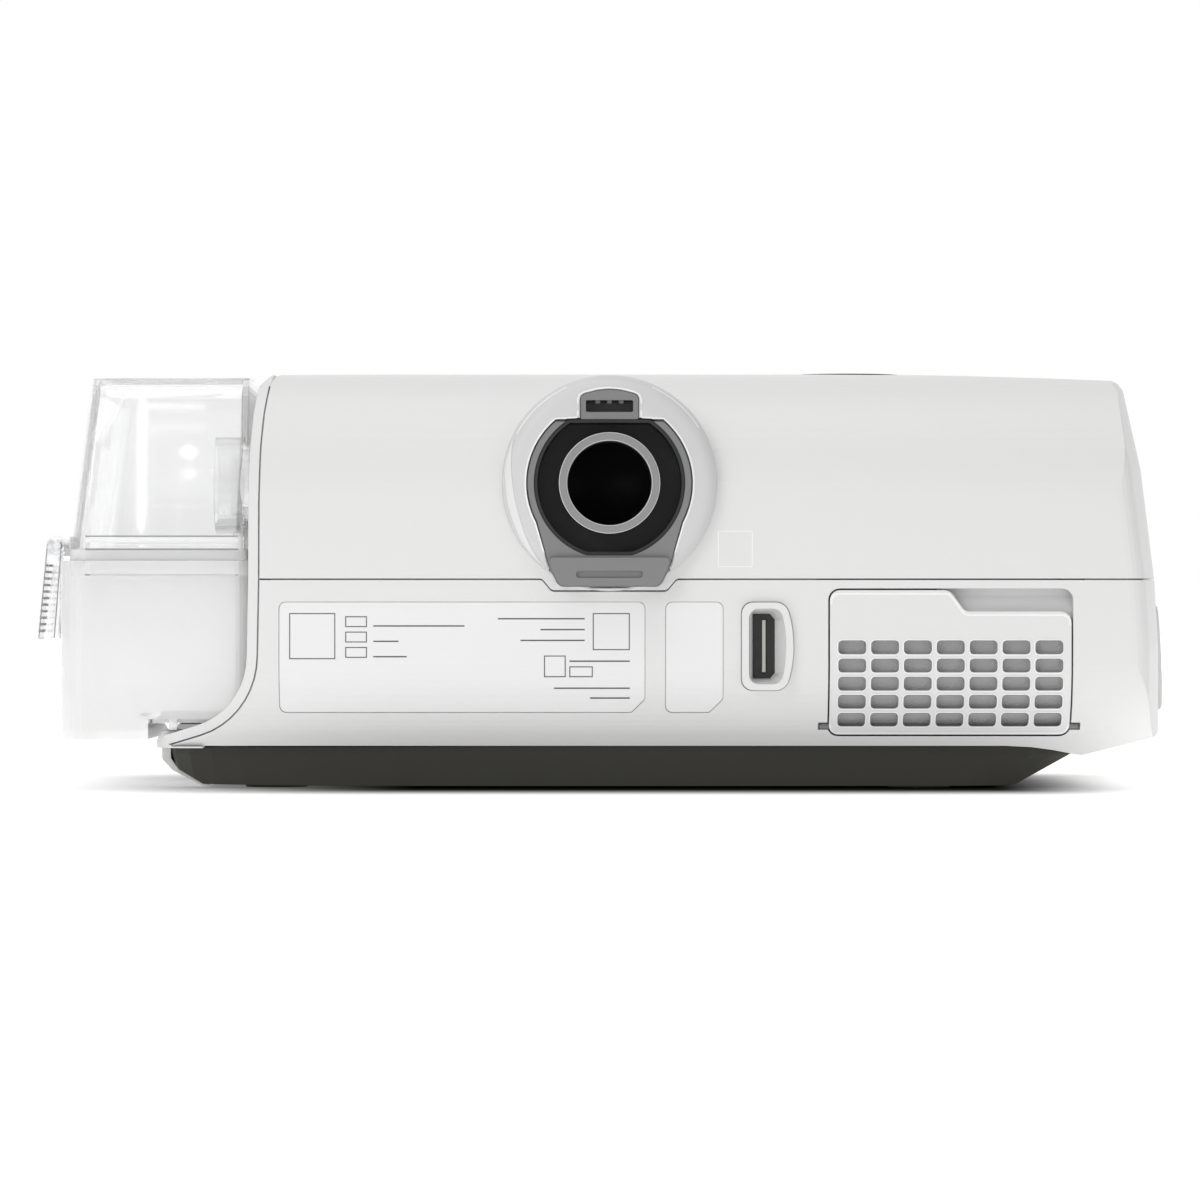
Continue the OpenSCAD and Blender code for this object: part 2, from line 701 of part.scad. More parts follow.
// Rounded lip at the end of the tray, wrapped round the foot's tip
module dock_lip() {
    difference() {
        intersection() {
            along_y(-lip_half, lip_half) polygon(rounded([
                [foot_x1 - 8.5, 0.9 - run_gap - 0.5, 0], [foot_x1 - 7.5, 0.9 - run_gap - 0.5, 0],
                [foot_x1 - 0.4, 3.7, 2], [dock_lip_x, 6.6, 2.5], [dock_lip_x, under_z + 1, 1.8],
                [dock_lip_x - 1.4, tray_z, 1.2], [dock_tip_x + 0.1, tray_z, 0],
                    [dock_tip_x + 0.1, under_z - 0.1, 0],
                [foot_x1 - 8.5, under_z - 0.1, 0]]));
            union() {
                intersection() {
                    along_z(0, under_z) polygon(foot_plan(-2.2, 0));
                    block([dock_x, -lip_wrap, 0], [half_w, lip_wrap, under_z]);
                }
                along_z(under_z - 0.5, tray_z + 1)
                    polygon(rounded(box_outline(dock_x, -lip_half, dock_lip_x, lip_half, 8)));
            }
        }
        intersection() {
            along_y(-rear_y, rear_y) polygon(rounded(concat(
                [[dock_x, 0.9 - run_gap, 0]], foot_end(run_gap), [[foot_x1 + run_gap, under_z + 0.2, 0]],
                [[dock_x, under_z + 0.2, 0]])));
            along_z(-1, under_z + 1) polygon(foot_plan(-run_gap, 0));
        }
    }
}

// Shadow line between the frame's edge and the housing's end
module dock_groove() {
    intersection() {
        along_y(front_y - 5, rear_y + 5) polygon(concat(
            dock_edge(-0.1, dock_tip_x),
            [for (i = [len(dock_edge(0, dock_tip_x)) - 1:-1:0]) dock_edge(seam_gap, dock_tip_x + 1)[i]]));
        difference() {
            along_x(dock_x - 5, dock_lip_x) polygon(side_profile(-1));
            along_x(dock_x - 6, dock_lip_x + 1) polygon(side_profile(1.3));
        }
    }
}

module dock_frame() color(shell_white) {
    difference() {
        intersection() {
            union() {
                along_x(dock_x - 5, dock_lip_x) polygon(side_profile(0));
                dock_lip();
            }
            union() {
                difference() {
                    along_y(front_y - 5, rear_y + 5) polygon(dock_strip(dock_t));
                    block([dock_x + dock_t + 0.4, -tray_half, tray_z], [half_w, tray_half, overall_h]);
                }
                intersection() {
                    block([dock_x, -rear_y, floor_z], [dock_x + dock_t + 0.4, rear_y - 4, overall_h - 4]);
                    along_x(dock_x - 1, dock_lip_x) polygon(side_profile(wall));
                    along_y(front_y - 5, rear_y + 5) polygon(concat(
                        [[dock_x + 0.7, floor_z]],
                        [for (p = dock_edge(0, dock_tip_x)) if (p[1] > seam_z - 20) p],
                        [for (z = [90, 84, 76, 64, seam_z]) [dock_side(z) + dock_t, z]],
                        [[dock_x + dock_t + 0.4, floor_z]]));
                }
                intersection() {
                    housing_block(wall, true);
                    union() {
                        for (y = [-tray_half - 2, tray_half]) intersection() {
                            block([dock_x + 1.2, y, floor_z], [dock_tip_x + 2, y + 2, seam_z - 10]);
                            along_y(y - 1, y + 3) polygon(concat([[dock_x, floor_z]],
                                [for (p = dock_edge(dock_t, dock_tip_x + 2)) if (p[1] < seam_z - 5) p],
                                [[dock_x, seam_z - 10]]));
                        }
                        block([dock_x + 1.2, -tray_half - 1, floor_z],
                            [dock_tip_x + 1, tray_half + 1, tray_z]);
                    }
                }
                dock_lip();
            }
        }
        dock_groove();
        for (p = ports) rod_x(dock_x - 2, dock_x + dock_t + 2, port_r, p);
        block([heater_x0 - run_gap, -heater_half - run_gap, floor_z - 1],
            [heater_x1 + run_gap, heater_half + run_gap, tray_z + 1]);
    }
}

module front_fascia() color([0.03, 0.03, 0.035]) {
    on_front() along_y(0, fascia_t) polygon(rounded(fascia_outline(0)));
}

display_x0 = -28;
display_x1 = 47;
display_t = 4.5;
display_half = 14;

module display_module() color([0.12, 0.13, 0.16]) {
    on_front() block([display_x0, fascia_t, -display_half],
        [display_x1, fascia_t + display_t, display_half]);
}

board_z = floor_z + 3;
board_t = 1.6;
board_x0 = card_x + blower_side + 44;
board_x1 = dock_x - 7;
board_half = rear_y - 18;
board_top = board_z + board_t;

// Bends down from the display's back to the main board's front edge
flex_t = 0.3;
flex_y = front_face_y(fascia_z) + fascia_t + display_t + 0.5;
module display_flex() color([0.75, 0.45, 0.15]) {
    along_x(4, 16) polygon([
        [flex_y, fascia_z], [flex_y + flex_t, fascia_z], [-board_half + 1 + flex_t, board_top + 8],
        [-board_half + 1 + flex_t, board_top], [-board_half + 1, board_top],
            [-board_half + 1, board_top + 8]]);
}

boss_face_y = rear_y + boss_proud;

// Yoke seen from the rear, grown by g
function yoke_outline(g) = rounded(concat(
    [for (p = arc([0, 0], yoke_r + g, 130, 208, 13)) [p[0], p[1], 0]],
    [[-14.2 - g, -15, 6], [-13.2 - g, -19, 3], [-11.2 - g, -22.9 - g, 1.9],
        [11.2 + g, -22.9 - g, 1.9], [13.2 + g, -19, 3], [14.2 + g, -15, 6]],
    [for (p = arc([0, 0], yoke_r + g, -28, 50, 13)) [p[0], p[1], 0]]));

module at_outlet() {
    translate([outlet_x, 0, outlet_z]) children();
}

// The dark well's outline, a circle with a flat at the top and one at the bottom
module well_outline(g) {
    intersection() {
        circle(r = well_r + g, $fn = 72);
        translate([-beyond, -15.15 - g]) square([2 * beyond, 28.45 + 2 * g]);
    }
}

function socket_outline(g) = [
    [-socket_w / 2 - g, socket_dz - g, 0.4],
    [socket_w / 2 + g, socket_dz - g, 0.4],
    [socket_w / 2 + g, socket_dz + socket_h - 0.9 + g, 1.6],
    [0, socket_dz + socket_h + 0.7 + g, 14],
    [-socket_w / 2 - g, socket_dz + socket_h - 0.9 + g, 1.6]];

boss_rim_r = 3.4;
boss_dome = 0.5;

// Flared ring with a rounded rim and a slightly domed face
boss_profile = concat(
    [[0, c_top_rear[0] - 6], [boss_flare_r + 0.1, c_top_rear[0] - 6], [boss_flare_r, c_top_rear[0] + 8]],
    [[boss_r + 0.5, rear_y - 5], [boss_r + 0.1, rear_y + 1]],
    arc([boss_r - boss_rim_r, boss_face_y - boss_rim_r - boss_dome], boss_rim_r, 0, 76, 8),
    [[yoke_r, boss_face_y], [0, boss_face_y]]);

socket_y0 = rear_y - 8;

module outlet_boss() color(shell_white) {
    difference() {
        at_outlet() rotate([-90, 0, 0]) rotate_extrude($fn = 96) polygon(boss_profile);
        along_x(card_x, half_w) polygon(side_profile(0));
        at_outlet() along_y(boss_face_y - 3.3, boss_face_y + 1) polygon(yoke_outline(run_gap));
        at_outlet() along_y(0, boss_face_y + 1) well_outline(cup_wall + run_gap);
        at_outlet() along_y(socket_y0, boss_face_y + 1) polygon(rounded(socket_outline(fit)));
    }
}

module tube_socket() color(mid_grey) {
    difference() {
        at_outlet() along_y(socket_y0, boss_face_y - 0.4) polygon(rounded(socket_outline(0)));
        at_outlet() along_y(boss_face_y - 9, boss_face_y)
            polygon(rounded(box_outline(-5.2, socket_dz + 1.6, 5.2, socket_dz + 4.2, 0.3)));
    }
}

module tube_contacts() color([0.75, 0.6, 0.3]) {
    for (dx = [-2.6, 0, 2.6]) at_outlet()
        block([dx - 0.5, boss_face_y - 9, socket_dz + 3.5], [dx + 0.5, boss_face_y - 2, socket_dz + 4.2]);
}

cup_wall = 0.8;
cup_y0 = boss_face_y + 1.6 - well_depth - 1.2;
cup_floor = cup_y0 + 1.2;
nozzle_end = overall_d / 2;
tail_r = nozzle_r - 0.6;
tail_y0 = outlet_duct_y + duct_r + duct_t + 1.2;
yoke_y1 = boss_face_y - 0.3;

module outlet_yoke() color(mid_grey) {
    difference() {
        union() {
            at_outlet() along_y(boss_face_y - 3, yoke_y1) polygon(yoke_outline(0));
            at_outlet() along_y(yoke_y1 - 0.5, yoke_y1 + 1) polygon(rounded([
                [-13.5, -16.4, 0.8], [-12.9, -19, 3], [-11, -22.7, 1.8],
                [11, -22.7, 1.8], [12.9, -19, 3], [13.5, -16.4, 0.8]]));
        }
        at_outlet() along_y(0, boss_face_y + 5) well_outline(cup_wall);
        at_outlet() along_y(0, boss_face_y + 5) translate([-beyond, 13.6]) square([2 * beyond, beyond]);
        at_outlet() along_y(yoke_y1 + 0.4, boss_face_y + 5)
            polygon(rounded(box_outline(-7.3, -20.9, 7.3, -19.4, 0.6)));
    }
}

module outlet_cup() color(dark_grey) {
    difference() {
        at_outlet() along_y(cup_y0, yoke_y1 - 0.4) well_outline(cup_wall);
        at_outlet() along_y(cup_floor, boss_face_y + 5) well_outline(0);
        rod_y(cup_y0 - 1, cup_floor + 1, tail_r, [outlet_x, outlet_z]);
    }
}

module outlet_nozzle() color([0.68, 0.69, 0.7]) {
    difference() {
        union() {
            rod_y(cup_floor, nozzle_end, nozzle_r, [outlet_x, outlet_z]);
            rod_y(tail_y0, cup_floor + 0.5, tail_r, [outlet_x, outlet_z]);
        }
        rod_y(tail_y0 - 1, nozzle_end + 1, nozzle_r - nozzle_wall, [outlet_x, outlet_z]);
    }
}

// Seal ring on the nozzle's tail
module outlet_seal() color([0.6, 0.6, 0.6]) {
    difference() {
        rod_y(cup_y0 - 1.8, cup_y0 - 0.3, tail_r + 0.5, [outlet_x, outlet_z]);
        rod_y(cup_y0 - 2, cup_y0, tail_r, [outlet_x, outlet_z]);
    }
}

module outlet_duct() color([0.8, 0.8, 0.78]) {
    difference() {
        union() {
            rod_y(tail_y0 - 6, cup_y0 - 0.5, tail_r + 0.8 + duct_t, [outlet_x, outlet_z]);
            duct_bend(duct_r + duct_t, 0);
        }
        duct_bend(duct_r, 1);
        rod_y(tail_y0 - run_gap, cup_y0, tail_r + 0.8, [outlet_x, outlet_z]);
    }
}

// The bend, as straight pieces that meet a quarter ring face to face
bend_r = duct_r + duct_t + 0.6;
module duct_bend(r, more) {
    translate([outlet_x + bend_r, outlet_duct_y + bend_r, outlet_z]) rotate([0, 0, 180])
        rotate_extrude(angle = 90) translate([bend_r, 0]) circle(r = r);
    rod_x(outlet_x + bend_r, dock_x - 2 + more * 3, r, ports[0]);
    if (more == 0) rod_y(outlet_duct_y + bend_r, outlet_duct_y + bend_r + 0.5, r, [outlet_x, outlet_z]);
    if (more > 0) rod_y(outlet_duct_y + bend_r, outlet_duct_y + bend_r + 2, r, [outlet_x, outlet_z]);
}

// Rings between each duct and the tub's port, through the dock's wall
module port_seals() color([0.35, 0.45, 0.5]) {
    for (p = ports) difference() {
        union() {
            rod_x(dock_x - 2, dock_x - 0.7, port_r + 3, p);
            rod_x(dock_x - 1, dock_x + dock_t + tub_gap - run_gap, port_r - fit, p);
        }
        rod_x(dock_x - 3, dock_x + dock_t + tub_gap, port_r - 1.6, p);
    }
}

blower_x = card_x + blower_side;
blower_at = [blower_x, blower_y];
case_outlet_x = blower_x + blower_r + 6;

module blower_duct() color([0.8, 0.8, 0.78]) {
    difference() {
        rod_x(case_outlet_x, dock_x - 2, duct_r + duct_t, ports[1]);
        rod_x(case_outlet_x - 1, dock_x - 1, duct_r, ports[1]);
    }
}

module label_plate_large() color([0.94, 0.94, 0.94]) {
    rear_skin(0.1, label_depth) polygon(rounded(label_outline(label_x, label_x + label_w, -fit)));
}

module label_plate_small() color([0.94, 0.94, 0.94]) {
    rear_skin(0.1, label_depth)
        polygon(rounded(label_outline(small_label_x1 - label_small_w, small_label_x1, -fit)));
}

function inlet_outline() = bowed_outline(inlet_w, inlet_h, 1.1, [2, 2.2]);

bezel_y1 = rear_y + 1.4;
socket_front = rear_y - 4.5;

module power_bezel() color(shell_white) {
    difference() {
        along_y(inlet_back, bezel_y1) polygon(rounded(bezel_outline(0)));
        along_y(inlet_back + 1.5, bezel_y1 + 1) polygon(rounded(inlet_outline()));
        along_y(inlet_back - 1, inlet_back + 2)
            polygon(box_points(inlet_x - 1.8, inlet_z - 7.3, inlet_x + 3.3, inlet_z + 7.3));
    }
}

function box_points(x0, z0, x1, z1) = [[x0, z0], [x1, z0], [x1, z1], [x0, z1]];

module power_insulator() color([0.1, 0.1, 0.1]) {
    difference() {
        union() {
            along_y(inlet_back, socket_front) polygon(rounded([
                [inlet_x + 3.2, inlet_z - 7.2, 0.4], [inlet_x + 3.2, inlet_z + 7.2, 0.4],
                [inlet_x - 0.6, inlet_z + 7.2, 0.4], [inlet_x - 1.7, inlet_z + 5.9, 0.4],
                [inlet_x - 1.7, inlet_z - 5.9, 0.4], [inlet_x - 0.6, inlet_z - 7.2, 0.4]]));
            block([inlet_x - 3, inlet_back - 8, board_top], [inlet_x + 5, inlet_back, inlet_z + 7.2]);
        }
        block([inlet_x + 0.2, socket_front - 7, inlet_z - 6],
            [inlet_x + 1.2, socket_front + 1, inlet_z + 6]);
    }
}

module power_blade() color([0.7, 0.7, 0.68]) {
    block([inlet_x + 0.3, socket_front - 7, inlet_z - 5.8],
        [inlet_x + 1.1, socket_front - 0.8, inlet_z + 5.8]);
}

// Slots of the cover, counted from the edge beside the hinge notch
slot_pitch_x = (door_w - 2.6) / slot_columns;
slot_w = slot_pitch_x - slot_bar;
slot_pitch_z = 4.03;
slot_z0 = door_z + 3.4;
function slot_outline(x, z) =
    box_outline(x - slot_w / 2, z - slot_h / 2, x + slot_w / 2, z + slot_h / 2, 0.9);

module filter_cover() color(shell_white) {
    difference() {
        rear_skin(0, door_t) polygon(rounded(door_outline()));
        for (i = [0:slot_columns - 1]) for (j = [0:slot_rows - 1])
            along_y(c_bottom_rear[0] - 8, rear_y + 2) polygon(rounded(slot_outline(
                door_x0 + door_w / 2 + (i - (slot_columns - 1) / 2) * slot_pitch_x,
                slot_z0 + j * slot_pitch_z), 3));
        for (x = [door_x0, door_x1]) rod_x(x - 2.1, x + 2.1, door_pin_r, [door_pin_y, door_pin_z]);
        block([door_x0 - 1, 0, 0], [door_x1 + 1, door_pin_y - 2.4, door_pin_z]);
    }
}

module filter_cover_pins() color(mid_grey) {
    for (x = [door_x0, door_x1]) rod_x(x - 2.1, x + 2.1, door_pin_r, [door_pin_y, door_pin_z]);
}

bay_wall = 1.4;
hinge_room = 3.9;
filter_reach = 7.3;
bay_x0 = door_x0 - 3;
bay_x1 = door_x1 + 3;
bay_y0 = rear_y - 18;
bay_z0 = under_z + 5.5;
bay_z1 = seam_z - 0.6;
neck_x0 = blower_x - 12;
neck_x1 = blower_x + 30;
neck_z0 = floor_z + 19;
neck_z1 = neck_z0 + 11;
notch_z = door_z1 - notch_h;

module filter_bay() color([0.62, 0.63, 0.63]) {
    difference() {
        union() {
            difference() {
                intersection() {
                    block([bay_x0, bay_y0, bay_z0], [bay_x1, rear_y, bay_z1]);
                    along_x(bay_x0 - 1, bay_x1 + 1) polygon(side_profile(wall + fit));
                }
                block([bay_x0 + bay_wall, bay_y0 + bay_wall, bay_z0 + bay_wall],
                    [bay_x1 - bay_wall, rear_y + 1, bay_z1 - bay_wall]);
            }
            along_x(bay_x0 + 1, notch_x + 6) polygon([
                [rear_y - 6.5, notch_z - 1.5], [rear_y - door_t - 0.8, notch_z - 1.5],
                    [rear_y - door_t - 0.8, notch_z],
                [rear_y - 4.2, notch_z + 3.4], [rear_y - 4.6, bay_z1 - 1], [rear_y - 6.5, bay_z1 - 1]]);
            block([bay_x0 + 1, bay_y0 + bay_wall + 3.3, notch_z - 1.5],
                [bay_x1 - 1, rear_y - 6.4, notch_z]);
        }
        along_y(bay_y0 - 1, bay_y0 + bay_wall + 1)
            polygon(box_points(neck_x0, neck_z0, neck_x1, notch_z - 2));
        rod_x(bay_x0 - 1, bay_x1 + 1, hinge_room, [door_pin_y, door_pin_z]);
        rod_x(door_x0, door_x1, filter_reach, [door_pin_y, door_pin_z]);
    }
}

// Thin filter pad that the cover carries on its back
filter_t = 1.6;
filter_edge = 1;

module air_filter() color([0.78, 0.8, 0.82]) {
    difference() {
        rear_skin(door_t + fit, door_t + fit + filter_t)
            polygon(box_points(door_x0 + filter_edge, door_z + filter_edge,
                door_x1 - filter_edge, notch_z - filter_edge - 1));
        for (x = [door_x0, door_x1])
            rod_x(x - 2.5, x + 2.5, door_pin_r + pin_fit, [door_pin_y, door_pin_z]);
    }
}

plenum_x0 = blower_x - 16;
plenum_x1 = blower_x + 36;
plenum_y0 = -38;
plenum_y1 = 28;
plenum_z0 = floor_z + 18;
plenum_z1 = blower_z0 - 4;
plenum_wall = 1.8;
eye_r = 12;

module inlet_plenum() color([0.75, 0.75, 0.73]) {
    difference() {
        union() {
            block([plenum_x0, plenum_y0, plenum_z0], [plenum_x1, plenum_y1, plenum_z1]);
            block([neck_x0 - 1.5, plenum_y1 - 1, neck_z0 - 1], [neck_x1 + 1.5, bay_y0, neck_z1 - 1.5]);
            for (x = [plenum_x0 + 14, plenum_x1 - 5]) for (y = [plenum_y0 + 5, plenum_y1 - 5])
                rod_z(floor_z + 0.4, plenum_z0 + 1, 3, [x, y]);
        }
        block([plenum_x0 + plenum_wall, plenum_y0 + plenum_wall, plenum_z0 + plenum_wall],
            [plenum_x1 - plenum_wall, plenum_y1 - plenum_wall, plenum_z1 - plenum_wall]);
        block([neck_x0, plenum_y1 - plenum_wall - 1, neck_z0 + 0.5], [neck_x1, bay_y0 + 1, neck_z1 - 3]);
        rod_z(plenum_z1 - plenum_wall - 1, plenum_z1 + 1, eye_r, blower_at);
    }
}

module silencer_foam() color([0.35, 0.35, 0.38]) {
    difference() {
        block([plenum_x0 + plenum_wall, plenum_y0 + plenum_wall, plenum_z0 + plenum_wall],
            [plenum_x1 - plenum_wall, plenum_y1 - plenum_wall, plenum_z1 - plenum_wall - 0.5]);
        rod_z(plenum_z0 + plenum_wall + 3, plenum_z1, eye_r, blower_at);
        block([neck_x0 + 4, blower_y, neck_z0 + 0.5], [neck_x1 - 12, plenum_y1, neck_z1 - 3]);
    }
}

// The blower case's outline: a spiral that grows towards the outlet
case_wall = 1.6;
function spiral(e) = [for (a = [0:15:345]) polar(blower_at, blower_r - e - 6 * (1 - a / 345), a - 75)];

module case_outside() {
    along_z(blower_z0, blower_z1) polygon(spiral(0));
    rod_x(blower_x, case_outlet_x, duct_r + duct_t, ports[1]);
}

module case_inside() {
    along_z(blower_z0 + case_wall, blower_z1 - case_wall) polygon(spiral(case_wall));
    rod_x(blower_x, case_outlet_x + 1, duct_r, ports[1]);
}

module blower_case_lower() color([0.3, 0.3, 0.32]) {
    difference() {
        case_outside();
        case_inside();
        block([card_x, front_y, outlet_z], [half_w, rear_y, overall_h]);
        rod_z(blower_z0 - 1, blower_z0 + case_wall + 1, eye_r, blower_at);
    }
}

bearing_r = 5;
shaft_r = 2;
module blower_case_upper() color([0.3, 0.3, 0.32]) {
    difference() {
        case_outside();
        case_inside();
        block([card_x, front_y, 0], [half_w, rear_y, outlet_z]);
        rod_z(blower_z1 - case_wall - 1, blower_z1 + 1, bearing_r, blower_at);
    }
}

impeller_z = blower_z0 + 7;
impeller_r = 21;
blade_h = 9;

// Disc, hub and swept blades
module impeller() color([0.85, 0.85, 0.82]) {
    difference() {
        union() {
            rod_z(impeller_z + blade_h, impeller_z + blade_h + 1.4, impeller_r, blower_at);
            rod_z(impeller_z, impeller_z + blade_h + 4, 4.5, blower_at);
            for (i = [0:blade_count - 1])
                translate([blower_x, blower_y, 0]) rotate([0, 0, i * 360 / blade_count])
                along_z(impeller_z, impeller_z + blade_h + 0.5) polygon(concat(
                    [for (k = [0:4]) polar([0, 0], 8 + k * (impeller_r - 8.6) / 4, k * -9)],
                    [for (k = [4:-1:0]) polar([0, 0], 8 + k * (impeller_r - 8.6) / 4, k * -9 + 4)]));
        }
        rod_z(impeller_z - 1, impeller_z + blade_h + 5, shaft_r, blower_at);
    }
}

motor_z1 = blower_z1 + 10.2;

module motor_shaft() color([0.7, 0.7, 0.72]) {
    rod_z(impeller_z, motor_z1 - 1.6, shaft_r, blower_at);
}

magnet_z0 = blower_z1 + 1.4;
magnet_z1 = motor_z1 - 3.6;

module motor_magnet() color([0.25, 0.25, 0.27]) {
    difference() {
        rod_z(magnet_z0, magnet_z1, 7.5, blower_at);
        rod_z(magnet_z0 - 1, magnet_z1 + 1, shaft_r, blower_at);
    }
}

// Ring of wound poles round the magnet
module motor_stator() color([0.7, 0.4, 0.2]) {
    difference() {
        rod_z(magnet_z0, magnet_z1, 11.4, blower_at);
        rod_z(magnet_z0 - 1, magnet_z1 + 1, 8, blower_at);
        for (i = [0:5]) translate([blower_x, blower_y, magnet_z0 - 1]) rotate([0, 0, i * 60])
            translate([8.5, -0.7, 0]) cube([2, 1.4, 20]);
    }
}

module motor_cap() color([0.25, 0.25, 0.27]) {
    difference() {
        rod_z(blower_z1, motor_z1, 12.6, blower_at);
        rod_z(blower_z1 - 1, motor_z1 - 3.4, 11.4, blower_at);
        rod_z(blower_z1, motor_z1 - 1, bearing_r, blower_at);
    }
}

module motor_bearings() color([0.75, 0.75, 0.77]) {
    for (z = [blower_z1 - case_wall, motor_z1 - 3.4]) difference() {
        rod_z(z, z + 2.2, bearing_r, blower_at);
        rod_z(z - 1, z + 3, shaft_r + pin_fit, blower_at);
    }
}

// Soft bushes that carry the blower on the plenum
module blower_mounts() color([0.35, 0.45, 0.5]) {
    for (a = [20, 160, 200, 340]) rod_z(plenum_z1, blower_z0, 2.5, polar(blower_at, 15.2, a));
}

// Flat lead from the motor down to the main board
flex_x1 = board_x0 + 4;
module motor_flex() color([0.75, 0.45, 0.15]) {
    along_y(blower_y - 6, blower_y + 4) polygon([
        [blower_x + 11, motor_z1 + flex_t], [blower_x + 11, motor_z1],
        [blower_x + 16, motor_z1], [flex_x1 - 0.3, motor_z1 - 12], [flex_x1 - 0.3, board_top],
        [flex_x1, board_top], [flex_x1, motor_z1 - 12 + flex_t], [blower_x + 16, motor_z1 + flex_t]]);
}

disc_r = button_ring_r - 1.2;

module button_ring() color(dark_grey) {
    difference() {
        rod_z(overall_h - 5, overall_h, button_ring_r, button_at);
        rod_z(overall_h - 6, overall_h + 1, disc_r + run_gap, button_at);
    }
}

module start_button() color([0.85, 0.85, 0.85]) {
    rod_z(overall_h - 2.9, button_top, disc_r, button_at);
    rod_z(stem_z + button_travel, overall_h - 2.5, 2.5, button_at);
}

module button_board() color(board_green) {
    block([button_x - 15.5, button_y - 11, button_board_z],
        [button_x + 15.5, button_y + 16.5, button_board_z + button_board_t]);
}

// The switch's body, with a fixed cap just below the button's lowest point
module button_switch() color(dark_grey) {
    block([button_x - 3, button_y - 3, button_board_z + button_board_t],
        [button_x + 3, button_y + 3, stem_z - run_gap]);
}

module button_spring() color([0.7, 0.7, 0.72]) {
    difference() {
        rod_z(button_board_z + button_board_t, overall_h - 2.9, 6, button_at);
        rod_z(button_board_z, overall_h, 5.4, button_at);
    }
}

module main_board() color(board_green) {
    difference() {
        block([board_x0, -board_half, board_z], [board_x1, board_half, board_top]);
        rod_z(board_z - 1, board_top + 1, post_r + 0.4, posts[2]);
    }
    for (x = [board_x0 + 6, board_x1 - 6]) for (y = [-board_half + 8, board_half - 8])
        rod_z(floor_z + 0.4, board_z, 2.5, [x, y]);
    block([board_x0, board_half - 4, board_z], [board_x0 + 8.5, inlet_back - 1, board_top]);
}

// Chips, connectors and capacitors on the main board
board_blocks = [[board_x0 + 30, 0, 14, 14, 1.6], [board_x1 - 54, -14, 10, 10, 1.4],
    [board_x1 - 54, 8, 9, 9, 1.4],
    [board_x1 - 34, -26, 12, 8, 6], [board_x0 + 12, -26, 8, 18, 7], [board_x1 - 16, 10, 6, 22, 8],
    [board_x0 + 30, 26, 16, 6, 3]];
can_places = [[board_x0 + 14, 22], [board_x0 + 24, -30], [board_x0 + 36, -30]];
module board_parts() color([0.1, 0.1, 0.11]) {
    for (b = board_blocks) block([b[0], b[1], board_top], [b[0] + b[2], b[1] + b[3], board_top + b[4]]);
    for (p = can_places) rod_z(board_top, board_top + 12, 4, p);
}

module flow_sensor() color([0.1, 0.3, 0.5]) {
    difference() {
        block([10, blower_duct_y - 7, outlet_z + 4], [28, blower_duct_y + 7, outlet_z + 17]);
        rod_x(9, 29, duct_r + duct_t, ports[1]);
    }
}

module radio_board() color(board_green) {
    block([16, 30, board_top], [44, 31.4, board_top + 26]);
    block([20, 31.4, board_top + 8], [40, 33, board_top + 22]);
}

card_w = 24;
card_l = 32;
card_t = 2.1;
card_x0 = card_x + 6.5;
card_y0 = card_y - card_w / 2;

// Small board with the card's slot, on its own legs
module card_board() color(board_green) {
    difference() {
        union() {
            block([card_x0 + 3, card_y0 - 6, card_z - 3],
                [card_x0 + card_l + 4, card_y0 + card_w + 6, card_z - 1.6]);
            block([card_x0 + 3, card_y0 - 1.5, card_z - 1.6],
                [card_x0 + card_l + 3, card_y0 + card_w + 1.5, card_z + card_t + 1]);
            for (x = [card_x0 + 8, card_x0 + card_l]) for (y = [card_y0 - 3.5, card_y0 + card_w + 3.5])
                rod_z(floor_z + 0.4, card_z - 2, 2, [x, y]);
        }
        block([card_x0, card_y0 - run_gap, card_z - run_gap],
            [card_x0 + card_l + 1.6, card_y0 + card_w + run_gap, card_z + card_t + run_gap]);
    }
}

module memory_card() color([0.15, 0.2, 0.45]) {
    along_z(card_z, card_z + card_t) polygon([
        [card_x0, card_y0], [card_x0 + card_l - 4, card_y0], [card_x0 + card_l, card_y0 + 4],
        [card_x0 + card_l, card_y0 + card_w], [card_x0, card_y0 + card_w]]);
}

module card_cover() color(shell_white) {
    intersection() {
        union() {
            along_y(card_y - card_cover_half, card_y + card_cover_half) polygon([
                [card_x + card_cover_t, card_hinge[1]], [card_x, card_hinge[1]],
                [card_x, card_z], [card_x + 0.3, card_z + 8],
                [card_x + 1, card_pocket_z1 - run_gap], [card_x + card_cover_t, card_pocket_z1 - run_gap]]);
            rod_y(card_y - card_cover_half, card_y + card_cover_half, barrel_r, card_hinge);
        }
        along_x(card_x - 1, card_x + 5)
            polygon(rounded(box_outline(card_y - card_cover_half, card_pocket_z0,
            card_y + card_cover_half, card_pocket_z1 - run_gap, 3)));
    }
    rod_y(card_y - card_cover_half - 2.5, card_y + card_cover_half + 2.5, card_pin_r, card_hinge);
}

module heater_plate() color([0.78, 0.79, 0.8]) {
    block([heater_x0, -heater_half, heater_z0], [heater_x1, heater_half, heater_z1]);
}

module heater_springs() color([0.7, 0.7, 0.72]) {
    for (p = spring_places) difference() {
        rod_z(foot_floor, heater_z0, spring_r, p);
        rod_z(foot_floor - 1, heater_z0 + 1, spring_r - 0.6, p);
    }
}

tub_x1 = half_w - tub_inset;
tub_step_x = dock_lip_x + 1.2;
tub_step_z = heater_z1 + run_gap + 1;
tub_bow_r = 330;

